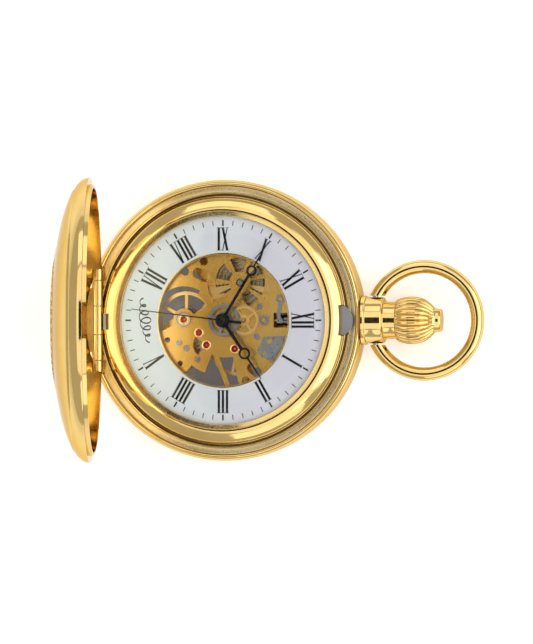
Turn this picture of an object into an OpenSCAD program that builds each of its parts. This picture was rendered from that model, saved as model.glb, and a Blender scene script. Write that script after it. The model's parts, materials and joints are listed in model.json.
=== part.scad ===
// Hunter-case pocket watch with its front cover open, a skeleton centre and centre seconds.
// Millimetres. The origin is the middle of the back rest face, +Z leaves the dial,
// +Y points to 12 o'clock and the pendant, +X points to 3 o'clock.

/* [Case] */
// Outer diameter of the case middle
case_d = 50; // [49.6:0.1:50.6]
// Depth of the front cover's dome
cover_depth = 6.5; // [6:0.1:7.5]
// Sheet thickness of the front cover
cover_wall = 0.6; // [0.4:0.05:0.8]
// Angle between the open front cover and the dial
cover_open = 80; // [70:1:90]
// Length of the hinge between the cover and the case
hinge_length = 19.4; // [18.6:0.2:20]
// Diameter of the hinge pin
hinge_pin_d = 0.7; // [0.5:0.05:0.8]

/* [Pendant and crown] */
// Diameter of the pendant barrel
pendant_d = 8.2; // [7.4:0.1:8.4]
// Diameter of the pendant neck under the crown
neck_d = 6.6; // [6:0.1:6.7]
// Largest diameter of the onion crown
crown_d = 8.5; // [7.8:0.1:8.5]
// Number of flutes round the crown
crown_flutes = 24; // [16:2:30]
// Diameter of the winding stem
stem_d = 1.1; // [0.9:0.05:1.1]
// Centreline radius of the bow
bow_r = 9.5; // [9.3:0.1:10]
// Wire diameter of the bow
bow_wire = 2.4; // [2:0.1:2.4]

/* [Dial and hands] */
// Outer diameter of the dial
dial_d = 37.8; // [37:0.1:37.8]
// Diameter of the opening that shows the movement
aperture_d = 23.5; // [22:0.5:25]
// Length of the hour hand from the centre
hour_length = 12.5; // [11:0.1:13]
// Length of the minute hand from the centre
minute_length = 16.3; // [15:0.1:16.5]
// Length of the seconds hand from the centre
seconds_length = 16.6; // [15:0.1:16.8]
// Clockwise angle of the hour hand from 12
hour_angle = 56; // [0:1:359]
// Clockwise angle of the minute hand from 12
minute_angle = 301; // [0:1:359]
// Clockwise angle of the seconds hand from 12
seconds_angle = 187; // [0:1:359]

/* [Movement] */
// Diameter of the main plate
plate_d = 36.4; // [36:0.1:36.5]
// Diameter of the balance rim
balance_d = 10; // [9:0.1:10]
// Play between meshing gear teeth, across both flanks
backlash = 0.07; // [0.06:0.01:0.08]
// Turns of the mainspring in its barrel
mainspring_turns = 6; // [4:1:7]
// Turns of the hairspring
hairspring_turns = 6; // [4:1:8]

/* [Hidden] */
$fn = 96;
case_r = case_d / 2;
plate_r = plate_d / 2;
dial_r = dial_d / 2;

// Heights of the case, from the rest face up
back_glass_z = 0.5;
back_glass_t = 0.9;
back_top = 2.6;
seat_z = 7.2;
rim_z = 7.75;
cover_z = rim_z + 0.05;
joint_gap = 0.05;

// Rings of the case, as distances inward from the outer edge
rim_w = 1.15;
groove_step = 2.2;
groove_w = 2.9;
bezel_r = case_r - 3;
glass_seat_r = 19.4;
glass_lip_r = 18.5;
band_bore_r = 19.4;
back_glass_r = 19.6;

// Ledges of the case band, the bezel and the front glass
groove_floor_z = 6.45;
groove_ledge_z = 6.85;
gasket_ledge_z = 1.8;
gasket_ledge_r = 20.4;
gasket_ledge_out = 21.4;
bezel_slope_r = 20.9;
bezel_slope_z = 8.75;
bezel_top_z = 9.3;
bezel_foot_r = 19.6;
glass_seat_z = 8.7;
glass_top_z = 10.6;

// Lip under the front cover's rim, as distances inward from the outer edge
lip_in = 2;
lip_out = 1.4;
lip_drop = 0.7;
lip_top = 0.5;
dome_steps = 12;
dome_power = 2.15;
cover_opening = 0.9;

// Hinge of the front cover
hinge_y = -(case_r - 2.2);
hinge_z = cover_z;
knuckle_r = 0.85;
hinge_clear = 1.35;
hinge_half = hinge_length / 2;
knuckle_gap = 0.1;
centre_knuckle = 2.5;
end_knuckle = 7.2;
spring_x = 0.25;
spring_w = 2.8;

// Catch of the front cover, at 12 o'clock
catch_w = 5.2;
catch_in = 20.4;
catch_out = 23.4;
catch_t = 0.25;
catch_tip_r = 2.95;
catch_travel = 0.6;

// Pendant, crown, stem and bow, all on one line above the rest face
stem_z = 4.8;
stem_r = stem_d / 2;
bow_y = 27;
bow_pinch = 3.6;
bow_pin_x = 2.4;
bow_pin_len = 2.8;
bow_pin_r = 0.48;
bow_centre_y = bow_y + sqrt(bow_r * bow_r - bow_pinch * bow_pinch);
barrel_end_y = 28.65;
neck_end_y = 31.4;
crown_y = 30.9;
crown_end_y = 39;
crown_recess = 1.4;
button_r = 2.05;
stem_start_y = 7.4;

// Heights of the movement
bridge_z = 2.75;
bridge_t = 0.6;
barrel_bridge_z = 3.05;
barrel_bridge_t = 0.7;
winding_z = 2.7;
winding_t = 0.3;
plate_z = 6.05;
plate_t = 0.5;
plate_top = plate_z + plate_t;
skirt_z = 3.5;
skirt_w = 1;
fourth_z = 3.45;
fourth_pinion_z = 3.65;
fourth_pinion_h = 1.2;
escape_pinion_z = 3.4;
hairspring_z = 3.75;
balance_z = 4.05;
balance_t = 0.4;
third_z = 4.35;
drum_z = 3.85;
drum_top = 5.45;
centre_pinion_z = 5;
pallet_bridge_z = 4.6;
pallet_bridge_t = 0.3;
pallet_z = 5.1;
pallet_t = 0.3;
escape_z = 5.15;
centre_z = 5.65;
third_pinion_z = 5.55;
motion_z = plate_top + joint_gap;
motion_t = 0.2;
minute_pinion_h = 0.45;
hour_wheel_z = 7;
dial_z = 7.5;
dial_t = 0.4;
hour_hand_z = 8.15;
minute_hand_z = 8.5;
seconds_hand_z = 8.85;
hand_t = 0.15;

// Tooth counts
barrel_teeth = 72;
centre_pinion_teeth = 12;
centre_teeth = 80;
third_pinion_teeth = 10;
third_teeth = 75;
fourth_pinion_teeth = 10;
fourth_teeth = 90;
escape_pinion_teeth = 9;
escape_teeth = 15;
cannon_teeth = 12;
minute_teeth = 36;
minute_pinion_teeth = 10;
hour_teeth = 40;
setting_teeth = 12;
winding_teeth = 18;
crown_wheel_teeth = 40;
ratchet_teeth = 36;

// Tooth form
pressure_angle = 25;
addendum = 0.8;
dedendum = 1.05;

// Centres of the movement's arbors
centre = [0, 0];
barrel_at = [-6.7, 2.8];
third_at = 5.4 * [cos(20), sin(20)];
escape_at = 5.5 * [cos(37), -sin(37)];
pallet_at = [2.18, -4.68];
balance_at = [-0.16, -7.39];
minute_at = [0, 3.6];
setting_at = [0, 7.2];
crown_wheel_at = [0, 7.94];
click_at = barrel_at + 5.7 * [cos(160), sin(160)];
yoke_at = [-3.8, 10.2];
lever_at = [3.4, 14.4];

// Gear modules, from the distance between two arbors and their tooth counts
barrel_m = gear_module(centre, barrel_at, barrel_teeth, centre_pinion_teeth);
centre_m = gear_module(centre, third_at, centre_teeth, third_pinion_teeth);
third_m = gear_module(centre, third_at, third_teeth, fourth_pinion_teeth);
fourth_m = gear_module(centre, escape_at, fourth_teeth, escape_pinion_teeth);
cannon_m = gear_module(centre, minute_at, cannon_teeth, minute_teeth);
hour_m = gear_module(centre, minute_at, hour_teeth, minute_pinion_teeth);
winding_m = gear_module(crown_wheel_at, barrel_at, crown_wheel_teeth, ratchet_teeth);

// Phases, the angle of each gear's first tooth, so that every pair meshes
barrel_phase = mesh_phase(centre, centre_pinion_teeth, 0, barrel_at, barrel_teeth);
third_pinion_phase = mesh_phase(centre, centre_teeth, 0, third_at, third_pinion_teeth);
third_phase = mesh_phase(centre, fourth_pinion_teeth, 0, third_at, third_teeth);
escape_pinion_phase = mesh_phase(centre, fourth_teeth, 0, escape_at, escape_pinion_teeth);
minute_phase = mesh_phase(centre, cannon_teeth, 0, minute_at, minute_teeth);
hour_phase = mesh_phase(minute_at, minute_pinion_teeth, 0, centre, hour_teeth);
setting_phase = mesh_phase(minute_at, minute_teeth, minute_phase, setting_at, setting_teeth);
crown_wheel_phase = 90 + 180 / crown_wheel_teeth;
ratchet_phase =
  mesh_phase(crown_wheel_at, crown_wheel_teeth, crown_wheel_phase, barrel_at, ratchet_teeth);

// Pivots, arbors and the jewels that they run in
pivot_r = 0.12;
arbor_r = 0.25;
seconds_arbor_r = 0.2;
third_arbor_r = 0.2;
jewel_r = 0.58;
jewel_bore = pivot_r + 0.05;
running = 0.06;
arbor_low = 3.42;
arbor_high = 6;
pivot_low = 2.95;
pivot_high = 6.45;
hour_pipe_r = 0.95;
hour_pipe_bore = 0.68;
cannon_pipe_r = 0.62;
cannon_bore = 0.43;
centre_arbor_r = 0.42;
lever_t = 0.25;
stud_r = 0.35;
screw_r = 0.4;
screw_head_r = 0.8;
screw_head_t = 0.3;
pillar_r = 1.2;
foot_r = 15.2;
bridge_r = 16.3;
train_feet = [20, -48];
barrel_feet = [66, 122, 186];
cock_foot = -75;
ring_screws = [45, 215, 320];
stud_bearing = bearing(balance_at, polar(foot_r, cock_foot)) - 11;
plate_screw_at = [[3.97, -8.26], [6.93, -4.9], [4.96, -6.93], [2.9, 5.9], [-2.4, 6.4]];
plate_screw_r = 0.55;
plate_screw_shank = 0.25;
plate_sink = 0.15;
window_hub_r = 1.95;
balance_window_r = 5.9;
train_window_r = 12.6;

// Winding pinion and sliding clutch
pinion_y = 12.3;
pinion_len = 0.9;
pinion_tip_r = 2;
pinion_root_r = 1.7;
clutch_y = 9.3;
clutch_len = 2.5;
clutch_r = 1;
clutch_groove_y = 10.4;

// Escapement
escape_r = 2.15;
stone_start = 2.3;
stone_end = 2.8;
roller_r = 0.9;
impulse_r = 0.75;

// ---------- geometry helpers ----------

function polar(r, a) = [r * cos(a), r * sin(a)];
function bearing(p, q) = atan2(q[1] - p[1], q[0] - p[0]);
function gear_module(p, q, t1, t2) = 2 * norm(q - p) / (t1 + t2);

// Phase of a gear at q that meshes with a gear of t1 teeth and the given phase at p
function mesh_phase(p, t1, phase, q, t2) =
  let (b = bearing(p, q)) b + 180 + 180 / t2 - (phase - b) * t1 / t2;

// Involute roll angle at a pressure angle
function involute(a) = tan(a) * 180 / PI - a;

// Half the angle that a tooth takes up at radius r
function tooth_half(r, pitch_r, teeth) =
  90 / teeth - backlash / 4 / pitch_r * 180 / PI
  + involute(pressure_angle) - involute(acos(min(1, pitch_r * cos(pressure_angle) / r)));

// Radii of the points along one flank, from the root to the tip
function flank_radii(teeth, m, steps) =
  let (pitch_r = teeth * m / 2,
       root_r = pitch_r - dedendum * m,
       base_r = pitch_r * cos(pressure_angle),
       start_r = max(base_r, root_r),
       tip_r = pitch_r + addendum * m)
  concat(
    base_r > root_r ? [root_r] : [],
    [for (i = [0 : steps]) start_r + (tip_r - start_r) * i / steps]);

// Outline of an involute gear with its first tooth on +X
function gear_points(teeth, m, steps) =
  let (radii = flank_radii(teeth, m, steps),
       pitch_r = teeth * m / 2,
       base_r = pitch_r * cos(pressure_angle),
       last = len(radii) - 1)
  [for (t = [0 : teeth - 1])
    for (i = [0 : 2 * last + 1])
      let (k = i <= last ? i : 2 * last + 1 - i,
           side = i <= last ? -1 : 1,
           half = tooth_half(max(radii[k], base_r), pitch_r, teeth))
      polar(radii[k], 360 * t / teeth + side * half)];

// Outline of a flat spiral strip of thickness t
function spiral_points(r0, r1, turns, t, steps) =
  let (n = turns * steps)
  concat(
    [for (i = [0 : n]) polar(r0 + (r1 - r0) * i / n + t / 2, 360 * i / steps)],
    [for (i = [n : -1 : 0]) polar(r0 + (r1 - r0) * i / n - t / 2, 360 * i / steps)]);

// Outline of an escape wheel with slanted club teeth
function escape_points() =
  [for (t = [0 : escape_teeth - 1])
    for (p = [[0.7, -9], [0.93, -2.5], [1, -1.5], [1, 1.2], [0.9, 1.8], [0.7, 3]])
      polar(escape_r * p[0], 360 * t / escape_teeth + p[1])];

// Quarter of the cover's dome: a superellipse of radius r and height h, rim to apex
function dome_height(x, r, h) = h * pow(max(0, 1 - pow(x / r, dome_power)), 1 / dome_power);
function dome_points(r, h, steps) =
  [for (i = [0 : steps]) let (x = r * cos(90 * i / steps)) [x, dome_height(x, r, h)]];

module at(p, z = 0) {
  translate([p[0], p[1], z]) children();
}

// Upright disc or post
module post(p, z, r, h) {
  at(p, z) cylinder(r = r, h = h);
}

// Upright ring
module ring(r_out, r_in, z, h) {
  translate([0, 0, z]) difference() {
    cylinder(r = r_out, h = h);
    translate([0, 0, -1]) cylinder(r = r_in, h = h + 2);
  }
}

// Rod along Y at the height of the stem
module stem_rod(r, y0, y1) {
  translate([0, y1, stem_z]) rotate([90, 0, 0]) cylinder(r = r, h = y1 - y0);
}

// Rod along X through the hinge
module hinge_rod(r, x0, x1) {
  translate([x0, hinge_y, hinge_z]) rotate([0, 90, 0]) cylinder(r = r, h = x1 - x0);
}

// Box between two corners
module box(a, b) {
  translate(a) cube(b - a);
}

// Flat bar with round ends
module bar(p, q, w) {
  length = norm(q - p);
  translate(p) rotate(bearing(p, q)) translate([0, -w / 2]) square([length, w]);
  translate(p) circle(d = w);
  translate(q) circle(d = w);
}

// Flat sector of a ring, from angle a0 to a1, less than a half turn
module sector(r_out, r_in, a0, a1) {
  far = 3 * r_out;
  mid = (a0 + a1) / 2;
  difference() {
    intersection() {
      circle(r = r_out);
      polygon([[0, 0], polar(far, a0), polar(far, mid), polar(far, a1)]);
    }
    circle(r = r_in);
  }
}

// Flat gear wheel with spokes
module wheel(teeth, m, h, spokes, hub_r, rim_w, spoke_w) {
  root_r = teeth * m / 2 - dedendum * m;
  linear_extrude(h) difference() {
    polygon(gear_points(teeth, m, 1));
    difference() {
      circle(r = root_r - rim_w);
      circle(r = hub_r);
      for (i = [0 : spokes - 1]) rotate(360 * i / spokes)
        translate([0, -spoke_w / 2]) square([root_r, spoke_w]);
    }
  }
}

// Flat pinion with fully shaped flanks
module pinion(teeth, m, h) {
  linear_extrude(h) polygon(gear_points(teeth, m, 3));
}

// Arbor with a thin pivot at each end
module arbor(p, z0, z1, low, high, r) {
  post(p, z0, r, z1 - z0);
  post(p, low, pivot_r, z0 - low + 0.01);
  post(p, z1 - 0.01, pivot_r, high - z1 + 0.01);
}

// ---------- case ----------

module case_band() {
  color("gold") difference() {
    union() {
      rotate_extrude() polygon([
        [band_bore_r, back_top + joint_gap], [gasket_ledge_r, back_top + joint_gap],
        [gasket_ledge_r, gasket_ledge_z], [gasket_ledge_out, gasket_ledge_z],
        [gasket_ledge_out, back_top + joint_gap], [case_r - 0.15, back_top + joint_gap],
        [case_r, 3.6], [case_r, 6.6], [case_r - 0.2, 7.35], [case_r - 0.6, rim_z],
        [case_r - 0.9, rim_z], [case_r - rim_w, rim_z - 0.25],
        [case_r - rim_w, groove_floor_z], [case_r - groove_step, groove_floor_z],
        [case_r - groove_step, groove_ledge_z], [case_r - groove_w, groove_ledge_z],
        [case_r - groove_w, seat_z], [band_bore_r, seat_z]]);
    }
    case_hinge_clearance();
    lift_spring_slot();
    stem_rod(2, band_bore_r - 1, case_r + 1);
  }
  color("gold") case_knuckles();
}

// Slot that holds the foot of the lift spring
module lift_spring_slot() {
  box([spring_x - spring_w / 2 - 0.05, hinge_y + 1, groove_floor_z],
      [spring_x + spring_w / 2 + 0.05, hinge_y + 1.6, 9]);
}

// Room round the hinge for the cover to swing
module case_hinge_clearance() {
  box([-hinge_half - 0.3, -case_r - 1, groove_floor_z],
      [hinge_half + 0.3, hinge_y + 0.2, 12]);
  hinge_rod(hinge_clear, -hinge_half - 0.3, hinge_half + 0.3);
}

module case_knuckles() {
  difference() {
    union() for (side = [-1, 1]) {
      x0 = side > 0 ? centre_knuckle + knuckle_gap : -end_knuckle + knuckle_gap;
      x1 = x0 + end_knuckle - centre_knuckle - 2 * knuckle_gap;
      hinge_rod(knuckle_r, x0, x1);
      box([x0, hinge_y - 0.5, 6.2], [x1, hinge_y + knuckle_r, hinge_z]);
    }
    hinge_rod(hinge_pin_d / 2 + 0.02, -hinge_half, hinge_half);
  }
}

module back_bezel() {
  color("gold") rotate_extrude() polygon([
    [18.6, back_glass_z], [19.2, 0], [22.6, 0], [24.2, 0.9], [case_r - 0.15, 2.2],
    [case_r - 0.15, back_top], [21.5, back_top], [21.5, 1.7], [20, 1.7],
    [20, back_glass_z]]);
}

module back_crystal() {
  color("azure", 0.4) post(centre, back_glass_z, back_glass_r, back_glass_t);
}

module back_gasket() {
  color("dimgray") ring(19.97, back_glass_r + 0.03, back_glass_z, back_glass_t);
}

module front_bezel() {
  color("gold") difference() {
    rotate_extrude() polygon([
      [glass_lip_r, dial_z + dial_t + joint_gap],
      [bezel_foot_r, dial_z + dial_t + joint_gap], [bezel_foot_r, seat_z + joint_gap],
      [bezel_r, seat_z + joint_gap], [bezel_r, rim_z], [bezel_slope_r, bezel_slope_z],
      [glass_seat_r + 0.35, bezel_top_z], [glass_seat_r, bezel_top_z],
      [glass_seat_r, glass_seat_z], [glass_lip_r, glass_seat_z]]);
    hinge_rod(hinge_clear, -hinge_half - 0.3, hinge_half + 0.3);
    box([spring_x - spring_w / 2 - 0.2, -case_r, 7],
        [spring_x + spring_w / 2 + 0.2, -20.6, 12]);
    box([-catch_w / 2 - 0.1, 19.7, 7], [catch_w / 2 + 0.1, case_r, seat_z + 0.4]);
    box([-catch_w / 2 - 0.1, 21.1, 7], [catch_w / 2 + 0.1, case_r, 12]);
  }
}

module front_crystal() {
  color("azure", 0.4) rotate_extrude() polygon([
    [0, glass_top_z - 0.6], [12, glass_top_z - 0.85], [17.3, glass_top_z - 1.3],
    [17.9, glass_seat_z + joint_gap], [glass_seat_r - 0.05, glass_seat_z + joint_gap],
    [glass_seat_r - 0.05, glass_top_z - 1.45], [18.7, glass_top_z - 0.9],
    [17, glass_top_z - 0.6], [12, glass_top_z - 0.25], [6, glass_top_z - 0.05],
    [0, glass_top_z]]);
}

module movement_ring() {
  color("silver") difference() {
    ring(band_bore_r - 0.05, plate_r + 0.1, skirt_z, seat_z - skirt_z);
    stem_rod(1, plate_r - 2, case_r);
  }
}

module ring_screws_set() {
  color("silver") for (a = ring_screws) {
    post(polar(plate_r - 0.5, a), skirt_z - screw_head_t, 0.95, screw_head_t);
    post(polar(plate_r - 0.5, a), skirt_z - 0.01, 0.35, 1.4);
  }
}

module pendant() {
  color("gold") difference() {
    union() {
      difference() {
        union() {
          stem_rod(pendant_d / 2, 20, barrel_end_y);
          stem_rod(pendant_d / 2 + 0.3, 20, case_r + 0.4);
          stem_rod(neck_d / 2, 20, neck_end_y);
        }
        post(centre, -5, case_r + 0.03, 20);
      }
      stem_rod(1.9, band_bore_r + 0.3, case_r + 1);
    }
    stem_rod(1.1, band_bore_r - 1, neck_end_y + 1);
    for (side = [-1, 1]) to_side(side) translate([bow_pin_x, bow_y, stem_z])
      rotate([0, 90, 0]) cylinder(r = bow_pin_r + 0.02, h = pendant_d);
  }
}

module bow_pins() {
  color("silver") for (side = [-1, 1]) to_side(side) translate([bow_pin_x, bow_y, stem_z])
    rotate([0, 90, 0]) cylinder(r = bow_pin_r, h = bow_pin_len);
}

module bow() {
  inner_x = pendant_d / 2 + 0.25;
  boss_end = inner_x + 1.5;
  gap_angle = asin((inner_x + bow_wire / 2 * 0.6) / bow_r) + 1;
  color("gold") difference() {
    union() {
      translate([0, bow_centre_y, stem_z]) rotate(gap_angle - 90)
        rotate_extrude(angle = 360 - 2 * gap_angle) translate([bow_r, 0])
          circle(d = bow_wire);
      for (side = [-1, 1]) to_side(side) translate([inner_x, bow_y, stem_z])
        rotate([0, 90, 0]) cylinder(r = bow_wire / 2, h = boss_end - inner_x);
    }
    for (side = [-1, 1]) to_side(side) translate([inner_x - 1, bow_y, stem_z])
      rotate([0, 90, 0]) cylinder(r = bow_pin_r + 0.05, h = 2);
    for (side = [-1, 1]) to_side(side) box([-1, 20, -5], [inner_x, bow_centre_y, 15]);
  }
}

// Mirror a shape to the side given by -1 or 1
module to_side(side) {
  if (side > 0) children();
  else mirror([1, 0, 0]) children();
}

module hinge_pin() {
  color("silver") hinge_rod(hinge_pin_d / 2, -hinge_half, hinge_half);
}

module lift_spring() {
  color("silver") box(
    [spring_x - spring_w / 2, hinge_y + 1.05, 6.5],
    [spring_x + spring_w / 2, hinge_y + 1.55, 8.3]);
}

module catch() {
  color("silver") intersection() {
    union() {
      post([0, catch_out - catch_tip_r], 6, catch_tip_r, 3);
      box([-case_r, 0, 6], [case_r, catch_out - catch_tip_r, 9]);
    }
    union() {
      box([-catch_w / 2, catch_in, seat_z + joint_gap],
          [catch_w / 2, case_r, seat_z + joint_gap + catch_t]);
      box([-catch_w / 2, case_r - groove_step, 7],
          [catch_w / 2, case_r, seat_z + joint_gap + catch_t]);
    }
  }
}

// ---------- front cover ----------

module front_cover() {
  color("gold") translate([0, hinge_y, hinge_z]) rotate([cover_open, 0, 0])
    translate([0, -hinge_y, -hinge_z]) closed_cover();
}

module closed_cover() {
  outer_r = case_r - 0.1;
  wall_y = hinge_y - knuckle_r;
  notch = hinge_half + 0.15;
  difference() {
    union() {
      difference() {
        translate([0, 0, cover_z]) cover_shell(outer_r);
        box([-notch, -case_r - 1, cover_z - 2], [notch, hinge_y + 0.95, cover_z + cover_opening]);
        box([-12, -case_r - 1, cover_z - 2], [12, -20.3, cover_z]);
        box([-notch, -case_r - 1, cover_z - 2], [notch, wall_y, cover_z + 9]);
        box([-catch_w / 2 - 0.4, 20, cover_z - 2], [catch_w / 2 + 0.4, 23.55, cover_z + 0.5]);
      }
      intersection() {
        translate([0, 0, cover_z]) rotate_extrude()
          polygon(concat([[0, 0]], dome_points(outer_r, cover_depth, dome_steps)));
        box([-notch, wall_y, cover_z + cover_opening], [notch, wall_y + cover_wall, cover_z + 9]);
      }
      for (x = [[-hinge_half, -end_knuckle], [-centre_knuckle, centre_knuckle],
                [end_knuckle, hinge_half]]) {
        hinge_rod(knuckle_r, x[0], x[1]);
        box([x[0], wall_y, hinge_z], [x[1], wall_y + cover_wall, hinge_z + 0.95]);
      }
    }
    hinge_rod(hinge_pin_d / 2 + 0.05, -hinge_half - 1, hinge_half + 1);
  }
}

// Thin dome with a lip that drops into the groove of the case
module cover_shell(outer_r) {
  inner = dome_points(outer_r - cover_wall, cover_depth - cover_wall, dome_steps);
  rotate_extrude() polygon(concat(
    dome_points(outer_r, cover_depth, dome_steps),
    [for (i = [dome_steps : -1 : 1]) inner[i]],
    [[outer_r - cover_wall - 0.02, lip_top], [case_r - lip_in, lip_top],
     [case_r - lip_in, -lip_drop], [case_r - lip_out, -lip_drop], [case_r - lip_out, 0]]));
}

// ---------- winding and setting ----------

module crown() {
  r = crown_d / 2;
  color("gold") difference() {
    translate([0, 0, stem_z]) rotate([-90, 0, 0]) rotate_extrude() polygon([
      [0, crown_y + crown_recess], [neck_d / 2 + 0.15, crown_y + crown_recess],
      [neck_d / 2 + 0.15, crown_y], [0.85 * r, crown_y], [0.93 * r, crown_y + 0.7],
      [0.99 * r, crown_y + 2.1], [r, crown_y + 3.3], [0.965 * r, crown_y + 4.6],
      [0.85 * r, crown_y + 5.9], [0.65 * r, crown_y + 6.7], [button_r, crown_y + 7],
      [button_r, crown_end_y - 0.25], [button_r - 0.25, crown_end_y], [0, crown_end_y]]);
    for (i = [0 : crown_flutes - 1]) translate([0, 0, stem_z]) rotate([0, 360 * i / crown_flutes, 0])
      translate([r + 0.1, 37.4, 0]) rotate([90, 0, 0]) cylinder(r = 0.3, h = 6.2, $fn = 24);
    stem_rod(stem_r + 0.01, crown_y, 33.6);
  }
}

module stem() {
  color("silver") {
    stem_rod(stem_r, 9.6, 33.5);
    stem_rod(0.35, stem_start_y, 9.7);
  }
}

module stem_gasket() {
  color("dimgray") difference() {
    stem_rod(1.05, 26.2, 27.4);
    stem_rod(stem_r + 0.05, 26, 28);
  }
}

module winding_pinion() {
  color("silver") difference() {
    union() {
      stem_rod(pinion_root_r, pinion_y, pinion_y + pinion_len);
      for (i = [0 : winding_teeth - 1]) translate([0, 0, stem_z])
        rotate([0, 360 * i / winding_teeth, 0])
          box([-0.1, pinion_y, -pinion_tip_r], [0.1, pinion_y + pinion_len, -pinion_root_r + 0.1]);
    }
    stem_rod(stem_r + running, pinion_y - 1, pinion_y + 2);
  }
}

module sliding_clutch() {
  color("dimgray") difference() {
    union() {
      stem_rod(clutch_r, clutch_y, clutch_groove_y - 0.25);
      stem_rod(0.75, clutch_y, clutch_y + clutch_len);
      stem_rod(clutch_r, clutch_groove_y + 0.25, clutch_y + clutch_len);
    }
    stem_rod(stem_r + running, clutch_y - 1, clutch_y + clutch_len + 1);
    for (i = [0 : 5]) translate([0, 0, stem_z]) rotate([0, 60 * i, 0])
      for (y = [clutch_y - 0.1, clutch_y + clutch_len - 0.3])
        box([-0.12, y, 0], [0.12, y + 0.4, 2]);
  }
}

module yoke() {
  color("silver") difference() {
    union() {
      translate([0, 0, motion_z]) linear_extrude(lever_t) {
        bar(yoke_at, [-0.8, 9.85], 0.7);
        bar([-0.8, 9.85], [0.2, 10.4], 0.6);
        translate(yoke_at) circle(r = 0.8);
      }
      box([-0.2, clutch_groove_y - 0.12, 5.65], [0.2, clutch_groove_y + 0.12, motion_z + 0.1]);
    }
    post(yoke_at, motion_z - 1, stud_r + running, 2);
  }
}

module setting_lever() {
  color("silver") difference() {
    translate([0, 0, motion_z]) linear_extrude(lever_t) {
      bar(lever_at, [0.3, 14.2], 0.7);
      bar(lever_at, [4.4, 12.6], 0.7);
      translate(lever_at) circle(r = 0.8);
    }
    post(lever_at, motion_z - 1, stud_r + running, 2);
  }
}

module setting_bridge() {
  color("silver") difference() {
    translate([0, 0, motion_z]) linear_extrude(lever_t)
      polygon([[2.9, 7.2], [5.2, 6.1], [6.3, 6.5], [7.5, 8.8], [4.5, 10.5], [2.75, 11.1]]);
    post([5.9, 7.2], motion_z - 1, 0.3, 2);
    post([3.7, 8.2], motion_z - 1, 0.5, 2);
  }
}

module setting_wheel() {
  color("silver") difference() {
    at(setting_at, motion_z) rotate(setting_phase) pinion(setting_teeth, cannon_m, motion_t);
    post(setting_at, motion_z - 1, stud_r + running, 3);
  }
}

module minute_wheel() {
  color("gold") difference() {
    union() {
      at(minute_at, motion_z) rotate(minute_phase)
        wheel(minute_teeth, cannon_m, motion_t, 4, 1, 0.4, 0.4);
      at(minute_at, motion_z + motion_t)
        pinion(minute_pinion_teeth, hour_m, minute_pinion_h);
    }
    post(minute_at, motion_z - 1, stud_r + running, 3);
  }
}

module hour_wheel() {
  color("silver") difference() {
    union() {
      translate([0, 0, hour_wheel_z]) rotate(hour_phase)
        wheel(hour_teeth, hour_m, motion_t, 4, 1.6, 0.5, 0.5);
      post(centre, hour_wheel_z, hour_pipe_r, hour_hand_z + hand_t - hour_wheel_z);
    }
    post(centre, hour_wheel_z - 1, hour_pipe_bore, 4);
  }
}

module cannon_pinion() {
  color("silver") difference() {
    union() {
      translate([0, 0, motion_z]) pinion(cannon_teeth, cannon_m, motion_t);
      post(centre, motion_z, cannon_pipe_r, minute_hand_z + hand_t - motion_z);
    }
    post(centre, motion_z - 1, cannon_bore, 4);
  }
}

// ---------- plate and bridges ----------

module main_plate() {
  color("goldenrod") difference() {
    union() {
      post(centre, plate_z, plate_r, plate_t);
      ring(plate_r, plate_r - skirt_w, skirt_z, plate_z - skirt_z + 0.1);
      ring(plate_r, plate_r - skirt_w, plate_top - 0.1, dial_z - plate_top + 0.05);
      for (a = train_feet) post(polar(foot_r, a), bridge_z + bridge_t, pillar_r, 3);
      for (a = barrel_feet)
        post(polar(foot_r, a), barrel_bridge_z + barrel_bridge_t, pillar_r, 2.5);
      box([-0.9, 7.9, 4], [0.9, 8.9, plate_z + 0.1]);
    }
    plate_windows();
    plate_sinks();
    post(centre, plate_z - 1, 0.48, 3);
    post(barrel_at, plate_z - 1, 0.75, 3);
    for (p = [third_at, escape_at, pallet_at]) post(p, plate_z - 1, jewel_r + 0.02, 3);
    post(balance_at, plate_z - 1, 0.9, 3);
    stem_rod(0.42, 7, 9.5);
    stem_rod(1, 14.5, 20);
    for (a = concat(train_feet, barrel_feet)) post(polar(foot_r, a), 1, screw_r + 0.02, 4);
    post(polar(foot_r, cock_foot), plate_z - 1, screw_r + 0.02, 3);
    for (a = ring_screws) post(polar(plate_r - 0.5, a), 2, 0.37, 3);
  }
  color("goldenrod") {
    post(minute_at, plate_z, stud_r, 1.3);
    for (p = [setting_at, yoke_at, lever_at]) post(p, plate_z, stud_r, 0.85);
  }
}

// Openings of the plate that show the movement
module plate_windows() {
  translate([0, 0, plate_z - 1]) linear_extrude(3) {
    translate([-1.3, 8.9]) square([2.6, 4]);
    translate([-1.8, pinion_y - 0.4]) square([3.6, pinion_len + 0.6]);
    translate(barrel_at) {
      for (a = [28, 80, 132, 184, 240]) sector(4.5, window_hub_r, a - 20, a + 20);
      sector(6, window_hub_r, 275, 306);
    }
    translate(balance_at) {
      sector(5, window_hub_r, 118, 151);
      sector(balance_window_r, window_hub_r, 150, 225);
      sector(balance_window_r, window_hub_r, 224, 298);
    }
    translate(escape_at) sector(2.4, 0.95, -125, -40);
    difference() {
      union() {
        sector(train_window_r, 6.6, -21, 13);
        sector(train_window_r, 10, -37, -20);
      }
      bar([5.9, -1.7], [13.4, 1.3], 0.85);
    }
    bar([8.5, 4.9], [9.3, 5.9], 1.7);
    bar([-8.4, -4.9], [-7.8, -3.6], 1.9);
    for (p = [[-10.5, -3.75], [-8.7, -7.2], [10.75, 3.9]]) translate(p) circle(r = 0.75);
    for (p = [[7.7, -8.1], [3.5, -10.4]]) translate(p) circle(r = 0.5);
  }
}

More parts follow.
